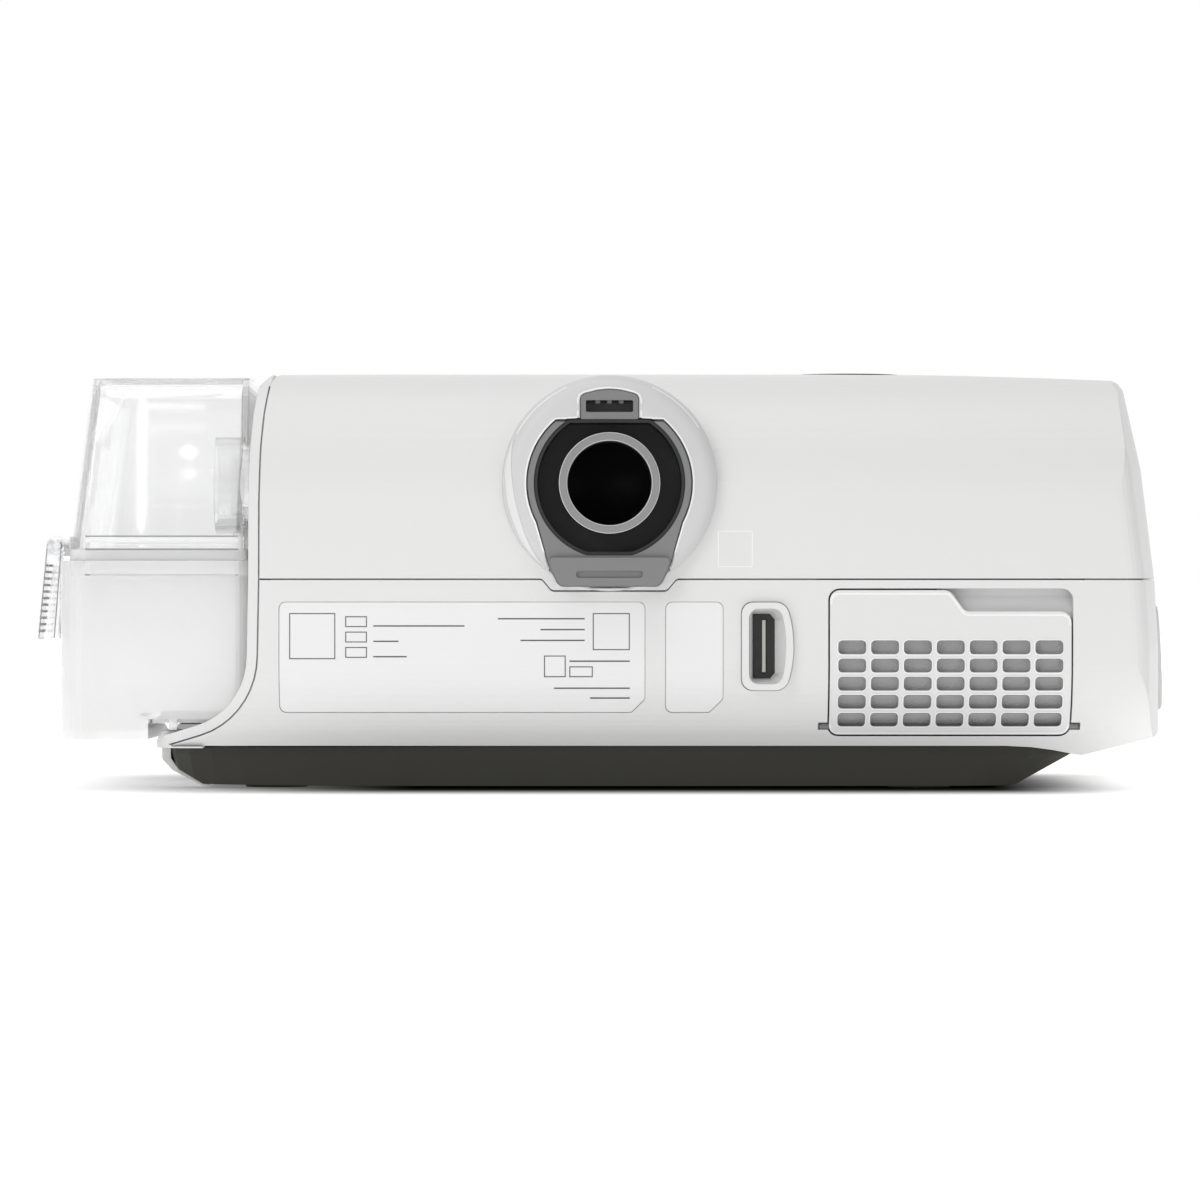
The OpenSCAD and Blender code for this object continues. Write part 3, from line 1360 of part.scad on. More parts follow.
// Rear outline of the tub base, drawn in by e, with a raised step over the dock's floor
function tub_outline(e, top) = [
    [tub_x0 + e, tub_step_z + e, 2],
    [tub_step_x + e, tub_step_z + e, 0],
    [tub_step_x + e, tub_under_z + e, 0],
    [tub_x1 - e, tub_under_z + e, 2.5],
    [tub_x1 - 2.7 - e, top, 0],
    [tub_x0 + e, top, 0]];

// Plan of the tub, drawn in by e, with a bowed outer wall
function tub_plan(half, outer, e) = rounded(concat(
    [[tub_x0 + e, half - e, 3], [tub_x0 + e, e - half, 3], [outer - 3.7 - e, e - half, 5 - e]],
    [for (y = [-30, -15, 0, 15, 30]) [outer - y * y / (2 * tub_bow_r) - e, y, 0]],
    [[outer - 3.7 - e, half - e, 5 - e]]));

module tub_base() color(clear_grey) {
    difference() {
        union() {
            intersection() {
                along_y(-tub_half, tub_half) polygon(rounded(tub_outline(0, rim_z1)));
                along_z(0, rim_z1) polygon(tub_plan(tub_half, tub_x1, 0));
            }
            along_z(rim_z0, rim_z1) polygon(tub_plan(rim_half, tub_x1 - 2.2, 0));
            for (y = [tray_half - 3, -tray_half + 1])
                block([heater_x1 - 0.6, y, tray_z + 0.2], [heater_x1 + 1.2, y + 2, tub_step_z + 1]);
        }
        intersection() {
            along_y(-tub_half, tub_half) polygon(rounded(tub_outline(tub_wall, rim_z1 + 2)));
            along_z(0, rim_z1 + 1) polygon(tub_plan(tub_half, tub_x1, tub_wall));
        }
        block([tub_x0 + 3.5, -heater_half, tub_step_z - 2],
            [tub_step_x - 2, heater_half, tub_step_z + tub_wall + 1]);
    }
}

module tub_heat_plate() color([0.62, 0.62, 0.62]) {
    block([tub_x0 + 1.6, -heater_half - 3, tub_step_z - 1],
        [tub_step_x - 0.3, heater_half + 3, tub_step_z]);
}

seal_z1 = rim_z1 + seal_h;
flange_z1 = seal_z1 + flange_h;
lid_x1 = tub_x1 - 2.6;

module tub_seal() color([0.75, 0.76, 0.77]) {
    difference() {
        along_z(rim_z1 + 0.05, seal_z1) polygon(tub_plan(rim_half - 1, lid_x1 + 0.4, 0.3));
        along_z(rim_z1 - 1, seal_z1 + 1) polygon(tub_plan(tub_half, lid_x1, 3.2));
    }
}

lid_wall = 1.6;

lid_lean = 5;

// Rear outline of the lid above its flange, drawn in by e
function lid_outline(e) = [
    [tub_x0 + e, seal_z1 - 1, 0],
    [lid_x1 + 0.6 - e, seal_z1 - 1, 0],
    [lid_x1 - 0.2 - e, lid_z - 34, 0],
    [lid_x1 - 3.4 - e, lid_z - 14, 0],
    [lid_x1 - 7 - e, lid_z - lid_drop - e, 1.5 - e / 2],
    [tub_x0 + e, lid_z - e, 1.5 - e / 2]];

// Side profile of the lid, drawn in by e
function lid_profile(e) = let(h = tub_half + 0.6 - e) [
    [-h, seal_z1 - 2, 0], [h, seal_z1 - 2, 0], [h - 2.2, lid_z - 1.2 - e, 3], [0, lid_z - e, 900],
    [2.2 - h, lid_z - 1.2 - e, 3]];

module lid_block(e) {
    intersection() {
        along_y(-rim_half, rim_half) polygon(rounded(lid_outline(e)));
        along_x(tub_x0 - 1, half_w) polygon(rounded(lid_profile(e)));
        hull() {
            along_z(seal_z1 - (e > 0 ? 1 : 0), seal_z1 + 0.1) polygon(tub_plan(tub_half + 0.6, lid_x1, e));
            along_z(lid_z - 0.1, lid_z) polygon(tub_plan(tub_half + 0.6, lid_x1 - lid_lean, e));
        }
    }
}

latch_axis = [tub_x1 - 0.2, seal_z1 + 1.1];
lug_r = 2.3;

module tub_lid() color(clear_grey) {
    difference() {
        union() {
            lid_block(0);
            along_z(seal_z1, flange_z1) polygon(tub_plan(rim_half, lid_x1 + 0.5, 0));
            for (y = [-latch_half - 3, latch_half + run_gap]) {
                rod_y(y, y + 2.7, lug_r, latch_axis);
                block([lid_x1 - 4, y, seal_z1], [latch_axis[0], y + 2.7, latch_axis[1] + 1.2]);
            }
            for (p = ports) rod_x(tub_x0 + 1, tub_x0 + 8, port_r + 1.3, p);
        }
        lid_block(lid_wall);
        for (p = ports) rod_x(tub_x0 - 1, tub_x0 + 9, port_r - 0.3, p);
        rod_y(-latch_half - 5, latch_half + 5, latch_pin_r, latch_axis);
    }
    for (p = ports) difference() {
        rod_x(tub_x0 + 1, tub_x0 + 8, port_r + 1.3, p);
        rod_x(tub_x0, tub_x0 + 9, port_r - 0.3, p);
    }
}

// Outline of the lever: a barrel block, a slanted grip and a web
latch_tip_z = seam_z - 13.6;
module tub_latch() color(clear_grey) {
    difference() {
        union() {
            along_y(-latch_half, latch_half) polygon(rounded([
                [latch_axis[0] - 1.45, latch_axis[1] - 2.4, 0.5],
                [half_w - 3.3, latch_axis[1] - 4.6, 0],
                [half_w - 1.4, latch_tip_z, 0.3],
                [half_w, latch_tip_z, 0.3],
                [half_w - 2.3, latch_axis[1] + 1.9, 1],
                [latch_axis[0] - 1.45, latch_axis[1] + 1.9, 1.6]]));
            for (y = [-latch_half, -1, latch_half - 2])
                along_y(y, y + 2) polygon([
                    [latch_axis[0] - 1.2, latch_axis[1] - 2.3], [tub_x1 - 0.2, rim_z0 - 4],
                        [tub_x1 + 0.6, latch_tip_z],
                    [half_w - 1, latch_tip_z], [half_w - 3, latch_axis[1] - 2.3]]);
        }
        rod_y(-latch_half - 1, latch_half + 1, latch_pin_r + pin_fit, latch_axis);
    }
}

module latch_pin() color([0.7, 0.7, 0.72]) {
    rod_y(-latch_half - 3, latch_half + 3, latch_pin_r, latch_axis);
}

module housing_screws() color([0.6, 0.6, 0.62]) {
    for (p = posts) {
        rod_z(head_z - 2.4, head_z, screw_r * 2, p);
        rod_z(head_z - 1, seam_z + 11, screw_r, p);
    }
}

top_cover();
lower_housing();
base_foot();
rubber_feet();
dock_frame();
front_fascia();
display_module();
display_flex();
outlet_boss();
outlet_yoke();
outlet_cup();
outlet_nozzle();
outlet_seal();
outlet_duct();
port_seals();
blower_duct();
tube_socket();
tube_contacts();
label_plate_large();
label_plate_small();
power_bezel();
power_insulator();
power_blade();
filter_cover();
filter_cover_pins();
filter_bay();
air_filter();
inlet_plenum();
silencer_foam();
blower_case_lower();
blower_case_upper();
impeller();
motor_shaft();
motor_magnet();
motor_stator();
motor_cap();
motor_bearings();
blower_mounts();
motor_flex();
start_button();
button_ring();
button_board();
button_switch();
button_spring();
main_board();
board_parts();
flow_sensor();
radio_board();
card_board();
memory_card();
card_cover();
heater_plate();
heater_springs();
tub_base();
tub_heat_plate();
tub_seal();
tub_lid();
tub_latch();
latch_pin();
housing_screws();
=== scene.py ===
"""Looks of a bedside breathing machine, seen from the rear with its clear water tub on the left."""

import json
import math

import bpy
import numpy as np
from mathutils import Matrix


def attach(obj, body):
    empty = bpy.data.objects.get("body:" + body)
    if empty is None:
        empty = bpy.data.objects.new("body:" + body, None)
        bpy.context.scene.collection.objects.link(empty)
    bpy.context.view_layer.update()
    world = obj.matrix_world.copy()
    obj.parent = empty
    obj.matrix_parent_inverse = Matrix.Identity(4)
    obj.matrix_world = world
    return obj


MM = 0.001

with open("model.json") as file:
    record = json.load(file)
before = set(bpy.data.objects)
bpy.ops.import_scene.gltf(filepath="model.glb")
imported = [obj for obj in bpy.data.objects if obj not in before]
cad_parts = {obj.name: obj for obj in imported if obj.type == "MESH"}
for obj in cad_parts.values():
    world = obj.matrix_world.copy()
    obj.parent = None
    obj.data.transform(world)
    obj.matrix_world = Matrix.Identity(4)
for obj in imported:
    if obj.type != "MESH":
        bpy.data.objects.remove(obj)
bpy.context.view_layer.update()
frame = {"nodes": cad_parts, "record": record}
nodes = frame["nodes"]
slots = {part["node"]: part["material_slot"] for part in frame["record"]["subparts"]}

# Camera: level, on the machine's centre line, looking at the rear face; distance and height in metres
CAMERA_DISTANCE = 1.5
CAMERA_HEIGHT = 0.0423
SENSOR_MM = 36
LENS_MM = 194.9

# Edges that turn by more than this stay sharp
SMOOTH_ANGLE = math.radians(28)

# Rear face of the housing, in millimetres
REAR_Y = 62.0
BOTTOM_FILLET_R = 20.0
BOTTOM_FILLET_Z = 29.7

# Air outlet and the boss round it, in millimetres: middle, radii, and the depths of face, end and bore
OUTLET_X, OUTLET_Z = -2.1, 68.1
BOSS_FACE_Y, YOKE_R, BOSS_R, BOSS_RIM_R, BOSS_DOME = 67.0, 18.1, 23.7, 3.4, 0.5
NOZZLE_R, NOZZLE_BORE_R, NOZZLE_END_Y = 11.0, 9.5, 69.25
NOZZLE_EDGE_R = 0.22
# Dark sleeve painted as the shade in the bore: its radius and the depths of its ends
BORE_SHADE_R, BORE_SHADE_Y0, BORE_SHADE_Y1 = 9.3, 56.0, 68.7
# The crescent of painted highlight down the boss: its width, the angle of its start and the angle it turns
# through
HIGHLIGHT_CRESCENT_W, HIGHLIGHT_CRESCENT_START, HIGHLIGHT_CRESCENT_TURN = 2.2, 25, -75

# Filter cover with its finger notch and its slots, in millimetres
COVER_X0, COVER_W, COVER_Z0, COVER_Z1 = -104.4, 53.5, 12.3, 44.0
NOTCH_W, NOTCH_SLOPE, NOTCH_H = 23.6, 3.4, 4.7
SLOT_COLUMNS, SLOT_ROWS = 7, 5
SLOT_PITCH_X, SLOT_PITCH_Z = (COVER_W - 2.6) / SLOT_COLUMNS, 4.03
SLOT_W, SLOT_H = SLOT_PITCH_X - 1.07, 3.1
SLOT_ROW_Z = COVER_Z0 + 3.4
# Width of the step inside each slot that is painted dark as shade
SLOT_SHADE_STEP = 0.16

# Power inlet: its middle, and the depths of its funnel's ends, in millimetres
INLET_X, INLET_Z = -37.1, 32.05
INLET_MOUTH_Y, INLET_THROAT_Y, INLET_WALL = 61.6, 57.55, 0.3

# Labels: how far they lie below the rear face, and the print on them, in millimetres
LABEL_DEPTH, PRINT_PROUD, PRINT_SINK = 0.1, 0.03, 0.02
BOX_LINE, RULE_H = 0.22, 0.3

# Rear of the tub's rim and the lines of painted shade and painted highlight on it, and the tub's latch
# with its grip ribs painted dark as shade, in millimetres
TUB_X0, TUB_X1, TUB_RIM_Y, TUB_SHADE_LINE_Z = 80.6, 114.6, 54.0, 47.9
LID_SHADE_LINES_Z, LID_HIGHLIGHT_Z = (56.5, 53.6), 55.6
LATCH_X, LATCH_Z0, LATCH_LEAN, LATCH_HALF, LATCH_H = 128.13, 34.0, 0.098, 19.0, 21.5
RIB_Z0 = LATCH_Z0 + 1.2
RIB_COUNT, RIB_PITCH, RIB_HALF, RIB_H, RIB_DEPTH = 11, 1.5, 16.0, 0.5, 0.5


def add_camera():
    """The camera, level and turned towards the rear face."""
    camera = bpy.data.objects.new("camera", bpy.data.cameras.new("camera"))
    bpy.context.scene.collection.objects.link(camera)
    camera.location = (0, CAMERA_DISTANCE, CAMERA_HEIGHT)
    camera.rotation_euler = (math.pi / 2, 0, math.pi)
    camera.data.sensor_width = SENSOR_MM
    camera.data.lens = LENS_MM
    camera.data.clip_start = 0.05
    camera.data.clip_end = 50
    bpy.context.scene.camera = camera


# Materials


def shader(name):
    """A new material with its node tree and its Principled shader."""
    material = bpy.data.materials.new(name)
    material.use_nodes = True
    tree = material.node_tree
    return material, tree, tree.nodes["Principled BSDF"]


def grain(tree, bsdf, scale, strength, distance):
    """Fine moulded texture as a bump."""
    coords = tree.nodes.new("ShaderNodeTexCoord")
    noise = tree.nodes.new("ShaderNodeTexNoise")
    noise.inputs["Scale"].default_value = scale
    noise.inputs["Detail"].default_value = 4
    bump = tree.nodes.new("ShaderNodeBump")
    bump.inputs["Strength"].default_value = strength
    bump.inputs["Distance"].default_value = distance
    tree.links.new(coords.outputs["Object"], noise.inputs["Vector"])
    tree.links.new(noise.outputs["Fac"], bump.inputs["Height"])
    tree.links.new(bump.outputs["Normal"], bsdf.inputs["Normal"])
    return bump


def soft_edges(tree, bump, radius):
    """Rounds the look of sharp edges by that radius."""
    bevel = tree.nodes.new("ShaderNodeBevel")
    bevel.samples = 4
    bevel.inputs["Radius"].default_value = radius
    tree.links.new(bevel.outputs["Normal"], bump.inputs["Normal"])


def plastic(name, colour, roughness, scale=900, strength=0.12, specular=0.5, edge=0.0003):
    """Moulded plastic with a fine grain, and its edges rounded by the radius in metres."""
    material, tree, bsdf = shader(name)
    bsdf.inputs["Base Color"].default_value = (*colour, 1)
    bsdf.inputs["Roughness"].default_value = roughness
    bsdf.inputs["Specular IOR Level"].default_value = specular
    bump = grain(tree, bsdf, scale, strength, 0.0002)
    if edge:
        soft_edges(tree, bump, edge)
    return material


def metal(name, colour, roughness, scale=600, strength=0.1):
    """Bare metal with a fine grain."""
    material, tree, bsdf = shader(name)
    bsdf.inputs["Base Color"].default_value = (*colour, 1)
    bsdf.inputs["Metallic"].default_value = 1
    bsdf.inputs["Roughness"].default_value = roughness
    grain(tree, bsdf, scale, strength, 0.0001)
    return material


def clear(name, colour, roughness, ior, through, cover, depth=0):
    """Clear moulded plastic.

    Through is the share of light that passes it bent, cover is its opacity, and depth is how fast it
    darkens inside.
    """
    material, tree, bsdf = shader(name)
    bsdf.inputs["Base Color"].default_value = (*colour, 1)
    bsdf.inputs["Roughness"].default_value = roughness
    bsdf.inputs["IOR"].default_value = ior
    bsdf.inputs["Transmission Weight"].default_value = through
    bsdf.inputs["Alpha"].default_value = cover
    bsdf.inputs["Coat Weight"].default_value = 1
    bsdf.inputs["Coat Roughness"].default_value = 0.02
    if depth:
        haze = tree.nodes.new("ShaderNodeVolumeAbsorption")
        haze.inputs["Color"].default_value = (0.5, 0.5, 0.5, 1)
        haze.inputs["Density"].default_value = depth
        tree.links.new(haze.outputs["Volume"], tree.nodes["Material Output"].inputs["Volume"])
    return material


MATERIALS = {
    "shell": plastic("shell", (0.80, 0.80, 0.795), 0.42),
    "foot": plastic("foot", (0.052, 0.051, 0.043), 0.6, specular=0.12, edge=0.0006),
    "rubber": plastic("rubber", (0.03, 0.03, 0.03), 0.8),
    "fascia": plastic("fascia", (0.012, 0.012, 0.014), 0.06, strength=0.0),
    "dark_plastic": plastic("dark_plastic", (0.027, 0.027, 0.027), 0.45, specular=0.3),
    "grey_plastic": plastic("grey_plastic", (0.23, 0.23, 0.23), 0.4, specular=0.3),
    "silver_plastic": plastic("silver_plastic", (0.26, 0.26, 0.26), 0.25, strength=0.04),
    "silicone": plastic("silicone", (0.80, 0.80, 0.80), 0.5),
    "duct": plastic("duct", (0.55, 0.55, 0.53), 0.45),
    "contact": metal("contact", (0.40, 0.395, 0.37), 0.4),
    "dark_contact": metal("dark_contact", (0.12, 0.12, 0.12), 0.4),
    "label": plastic("label", (0.86, 0.86, 0.86), 0.35, strength=0.03, edge=0),
    "filter_media": plastic("filter_media", (0.45, 0.45, 0.45), 0.95, scale=2500, strength=0.8),
    "foam": plastic("foam", (0.1, 0.1, 0.11), 0.95, scale=1500, strength=1.0),
    "steel": metal("steel", (0.6, 0.6, 0.62), 0.25),
    "magnet": metal("magnet", (0.12, 0.12, 0.13), 0.5),
    "winding": metal("winding", (0.45, 0.2, 0.08), 0.35),
    "flex": plastic("flex", (0.5, 0.24, 0.05), 0.3, edge=0),
    "button": plastic("button", (0.75, 0.75, 0.75), 0.3),
    "board": plastic("board", (0.02, 0.12, 0.05), 0.35, edge=0),
    "sensor": plastic("sensor", (0.05, 0.12, 0.3), 0.4),
    "card": plastic("card", (0.05, 0.07, 0.2), 0.4),
    "heater": metal("heater", (0.66, 0.66, 0.67), 0.35),
    "clear_plastic": clear("clear_plastic", (0.93, 0.932, 0.932), 0.02,
                           ior=1.14, through=0.94, cover=0.85, depth=14),
    "milky_plastic": clear("milky_plastic", (0.99, 0.99, 0.99), 0.15,
                           ior=1.2, through=0.4, cover=0.85),
    # The boss is of the shell's plastic; this darker grey is painted shade on its face
    "boss": plastic("boss", (0.66, 0.66, 0.66), 0.4),
    "bay": plastic("bay", (0.75, 0.75, 0.75), 0.5),
}
# The print, with the dark sleeve painted as the outlet bore's shade; painted highlights on edges, with
# print; painted highlights on the nozzle's edges; and painted shade lines
INK_AND_SHADE = plastic("ink_and_painted_shade", (0.10, 0.10, 0.10), 0.5, strength=0, edge=0)
HIGHLIGHT_AND_PRINT = plastic("painted_highlight_and_print", (0.93, 0.93, 0.93), 0.4, strength=0, edge=0)
NOZZLE_HIGHLIGHT = plastic("ring", (0.68, 0.68, 0.68), 0.3, strength=0, edge=0)
PAINTED_SHADE = plastic("painted_shade_line", (0.30, 0.30, 0.30), 0.4, strength=0, edge=0)


def dress_cad():
    """Gives every CAD node its material, and smooth shading up to its real edges."""
    for name, node in nodes.items():
        node.data.materials.clear()
        node.data.materials.append(MATERIALS[slots[name]])
        node.data.shade_smooth()
        node.data.set_sharp_from_angle(angle=SMOOTH_ANGLE)
        even = node.modifiers.new("even_shading", "WEIGHTED_NORMAL")
        even.mode = "FACE_AREA_WITH_ANGLE"
        even.keep_sharp = True


# Pieces made here


def rear_y(z):
    """Depth of the rear face at a height, in millimetres."""
    drop = max(BOTTOM_FILLET_Z - z, 0)
    return REAR_Y - BOTTOM_FILLET_R + math.sqrt(BOTTOM_FILLET_R ** 2 - drop ** 2)


def circle_arc(cx, cz, r, start, end, steps):
    """Points of an arc between two angles in degrees."""
    turns = [math.radians(start + (end - start) * i / steps) for i in range(steps + 1)]
    return [(cx + r * math.cos(a), cz + r * math.sin(a)) for a in turns]


def rounded_box(x0, z0, x1, z1, r, steps=4):
    """Points of a rounded rectangle, in order."""
    points = []
    corners = [(x1 - r, z1 - r, 0), (x0 + r, z1 - r, 90), (x0 + r, z0 + r, 180), (x1 - r, z0 + r, 270)]
    for cx, cz, start in corners:
        points += circle_arc(cx, cz, r, start, start + 90, steps)
    return points


def piece(name, vertices, faces, body, slot, material, smooth=False):
    """Makes a piece from points in millimetres, gives it its material and puts it on its body. The slot is
    not used.
    """
    mesh = bpy.data.meshes.new(name)
    mesh.from_pydata([tuple(c * MM for c in v) for v in vertices], [], faces)
    mesh.validate()
    mesh.materials.append(material)
    made = bpy.data.objects.new(name, mesh)
    bpy.context.scene.collection.objects.link(made)
    if smooth:
        mesh.shade_smooth()
        mesh.set_sharp_from_angle(angle=SMOOTH_ANGLE)
    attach(made, body)


def ring_faces(rings, n, closed=True):
    """Faces between rings of n points, and between the last ring and the first if closed."""
    faces = []
    for a in range(rings if closed else rings - 1):
        b = (a + 1) % rings
        faces += [(a * n + i, a * n + (i + 1) % n, b * n + (i + 1) % n, b * n + i) for i in range(n)]
    return faces


def frame_loop(x0, z0, x1, z1, r, width, proud, sink=0.05):
    """A raised frame that follows the rear face: vertices and faces."""
    outer = rounded_box(x0 - width, z0 - width, x1 + width, z1 + width, r + width)
    inner = rounded_box(x0, z0, x1, z1, r)
    rings = [(outer, -sink), (outer, proud * 0.6), (inner, proud), (inner, -sink)]
    vertices = [(x, rear_y(z) + d, z) for ring, d in rings for x, z in ring]
    return vertices, ring_faces(len(rings), len(outer))


def rounded(corners, steps=6):
    """Closed line through corners given as (x, z, radius)."""
    line = []
    for i, (x, z, r) in enumerate(corners):
        here = np.array((x, z))
        before = np.array(corners[i - 1][:2]) - here
        after = np.array(corners[(i + 1) % len(corners)][:2]) - here
        before, after = before / np.linalg.norm(before), after / np.linalg.norm(after)
        half = math.acos(np.clip(before @ after, -1, 1)) / 2
        start, end = here + before * r / math.tan(half), here + after * r / math.tan(half)
        for k in range(steps + 1):
            t = k / steps
            line.append(tuple(start * (1 - t) ** 2 + here * 2 * t * (1 - t) + end * t ** 2))
    return line


def ribbon(line, width, depth, proud, closed=False, sink=0.1):
    """A thin raised band along a line of (x, z) points, on the surface whose y is depth(x, z).

    The width is one number, or one for each point.
    """
    n = len(line)
    widths = width if isinstance(width, list) else [width] * n
    # Half of the band's section, as (share of the width, height over the surface)
    half = [(0.2, proud), (0.5, proud * 0.5), (0.5, -sink)]
    section = [(-side, lift) for side, lift in reversed(half)] + half
    vertices = []
    for i, (x, z) in enumerate(line):
        before = line[i - 1] if closed or i else line[i]
        after = line[(i + 1) % n] if closed or i < n - 1 else line[i]
        along = np.array(after) - np.array(before)
        along /= np.linalg.norm(along)
        for side, lift in section:
            u, v = x - side * widths[i] * along[1], z + side * widths[i] * along[0]
            vertices.append((u, depth(u, v) + lift, v))
    m = len(section)
    faces = ring_faces(n, m, closed)
    if not closed:
        faces += [tuple(range(m)), tuple(range(m * n - 1, m * n - m - 1, -1))]
    return vertices, faces


def joined(parts):
    """Several vertex and face lists as one."""
    vertices, faces = [], []
    for more_vertices, more_faces in parts:
        base = len(vertices)
        vertices += more_vertices
        faces += [tuple(base + i for i in face) for face in more_faces]
    return vertices, faces


def slot_rims_and_shade():
    """Raised rim round every slot of the filter cover, painted bright as a highlight, and the step inside
    it painted dark as shade.
    """
    rims, steps = [], []
    for column in range(SLOT_COLUMNS):
        for row in range(SLOT_ROWS):
            x = COVER_X0 + COVER_W / 2 + (column - (SLOT_COLUMNS - 1) / 2) * SLOT_PITCH_X
            z = SLOT_ROW_Z + row * SLOT_PITCH_Z
            x0, x1, z0, z1 = x - SLOT_W / 2, x + SLOT_W / 2, z - SLOT_H / 2, z + SLOT_H / 2
            rims.append(frame_loop(x0, z0, x1, z1, r=0.9, width=0.24, proud=0.22))
            inset = (x0 + SLOT_SHADE_STEP, z0 + SLOT_SHADE_STEP, x1 - SLOT_SHADE_STEP, z1 - SLOT_SHADE_STEP)
            steps.append(frame_loop(*inset, r=0.7, width=SLOT_SHADE_STEP, proud=-0.5, sink=0.8))
    piece("slot_rim_highlights", *joined(rims), "filter_door", "shell", HIGHLIGHT_AND_PRINT, smooth=True)
    piece("slot_painted_shade", *joined(steps), "filter_door", "shell", PAINTED_SHADE)


def cover_edge_highlight():
    """Raised edge round the filter cover, painted bright as a highlight."""
    inset, r = 0.3, 2
    x0, x1 = COVER_X0 + inset, COVER_X0 + COVER_W - inset
    z0, z1 = COVER_Z0 + inset, COVER_Z1 - inset
    notch_x, notch_z = COVER_X0 + NOTCH_W, z1 - NOTCH_H
    line = rounded([(x1, z0, r), (x1, z1, r), (notch_x + NOTCH_SLOPE, z1, r), (notch_x, notch_z, r),
                    (x0, notch_z, r), (x0, z0, r)])
    band = ribbon(line, width=0.5, depth=lambda x, z: rear_y(z), proud=0.1, closed=True)
    piece("cover_edge_highlight", *band, "filter_door", "shell", HIGHLIGHT_AND_PRINT, smooth=True)


def boss_y(x, z):
    """Depth of the domed boss round the outlet."""
    r = math.hypot(x - OUTLET_X, z - OUTLET_Z)
    rim = max(r - (BOSS_R - BOSS_RIM_R), 0)
    dome = BOSS_DOME * min(max(r - YOKE_R, 0) / (BOSS_R - BOSS_RIM_R - YOKE_R), 1)
    return BOSS_FACE_Y - dome - BOSS_RIM_R + math.sqrt(BOSS_RIM_R ** 2 - min(rim, BOSS_RIM_R) ** 2)


def recess_rim_highlight():
    """Thin rim of the recess that holds the yoke and the tube's socket, painted bright as a highlight.

    Its points are (x, z) from the outlet's middle, up one side and mirrored down the other.
    """
    side = [(13.5, -19.0), (14.6, -15.0)] + circle_arc(0, 0, YOKE_R + 0.5, -28, 50, 24)
    ledge = [(7.2, 14.5), (7.0, 15.0), (7.0, 18.4), (6.6, 19.6), (5.4, 20.2), (2.8, 20.9)]
    half = side + ledge
    line = half + [(0, 21.1)] + [(-x, z) for x, z in reversed(half)]
    placed = [(OUTLET_X + x, OUTLET_Z + z) for x, z in line]
    band = ribbon(placed, width=0.36, depth=boss_y, proud=0.12, sink=0.3)
    piece("recess_rim_highlight", *band, "housing", "boss", HIGHLIGHT_AND_PRINT, smooth=True)


def boss_painted_highlights():
    """Painted highlights on the boss: a lighter crescent down its tub side and a thin bright line round
    each shoulder.
    """
    steps = 32
    highlight_crescent, widths = [], []
    for i in range(steps + 1):
        width = 0.12 + HIGHLIGHT_CRESCENT_W * math.sin(math.pi * i / steps)
        turn = math.radians(HIGHLIGHT_CRESCENT_START + HIGHLIGHT_CRESCENT_TURN * i / steps)
        r = BOSS_R - 0.3 - width / 2
        highlight_crescent.append((OUTLET_X + r * math.cos(turn), OUTLET_Z + r * math.sin(turn)))
        widths.append(width)
    flank_highlight = ribbon(highlight_crescent, widths, depth=boss_y, proud=0.06, sink=0.3)
    piece("boss_flank_highlight", *flank_highlight, "housing", "boss", MATERIALS["shell"], smooth=True)
    shoulder_highlights = []
    for start, end in ((28, 66), (114, 148)):
        shoulder = circle_arc(OUTLET_X, OUTLET_Z, BOSS_R - 0.5, start, end, 16)
        shoulder_highlights.append(ribbon(shoulder, width=0.25, depth=boss_y, proud=0.1, sink=0.3))
    piece("boss_shoulder_highlights", *joined(shoulder_highlights), "housing", "boss", HIGHLIGHT_AND_PRINT, smooth=True)


def lathe(section, steps=72):
    """A ring round the outlet's axis, from its closed section as (radius, y) points."""
    vertices = []
    for i in range(steps):
        a = math.radians(360 * i / steps)
        vertices += [(OUTLET_X + r * math.cos(a), y, OUTLET_Z + r * math.sin(a)) for r, y in section]
    return vertices, ring_faces(steps, len(section))


def nozzle_edge_highlights():
    """Beads round the outer and the inner edge of the air outlet's end, painted bright as highlights."""
    parts = []
    for r in (NOZZLE_R - 0.05, NOZZLE_BORE_R + 0.05):
        # The bead's section has eight points, and the last lies one step before the first
        section = circle_arc(r, NOZZLE_END_Y - 0.23, NOZZLE_EDGE_R, 0, 315, 7)
        parts.append(lathe(section))
    piece("nozzle_edge_highlights", *joined(parts), "outlet_connector", "silver_plastic", NOZZLE_HIGHLIGHT, smooth=True)


def bore_painted_shade():
    """Dark sleeve in the air outlet's bore, painted shade deep in the bore."""
    outer = NOZZLE_BORE_R - 0.02
    section = [(BORE_SHADE_R, BORE_SHADE_Y0), (BORE_SHADE_R, BORE_SHADE_Y1),
               (outer, BORE_SHADE_Y1), (outer, BORE_SHADE_Y0)]
    piece("bore_painted_shade", *lathe(section), "outlet_connector", "dark_plastic", INK_AND_SHADE, smooth=True)


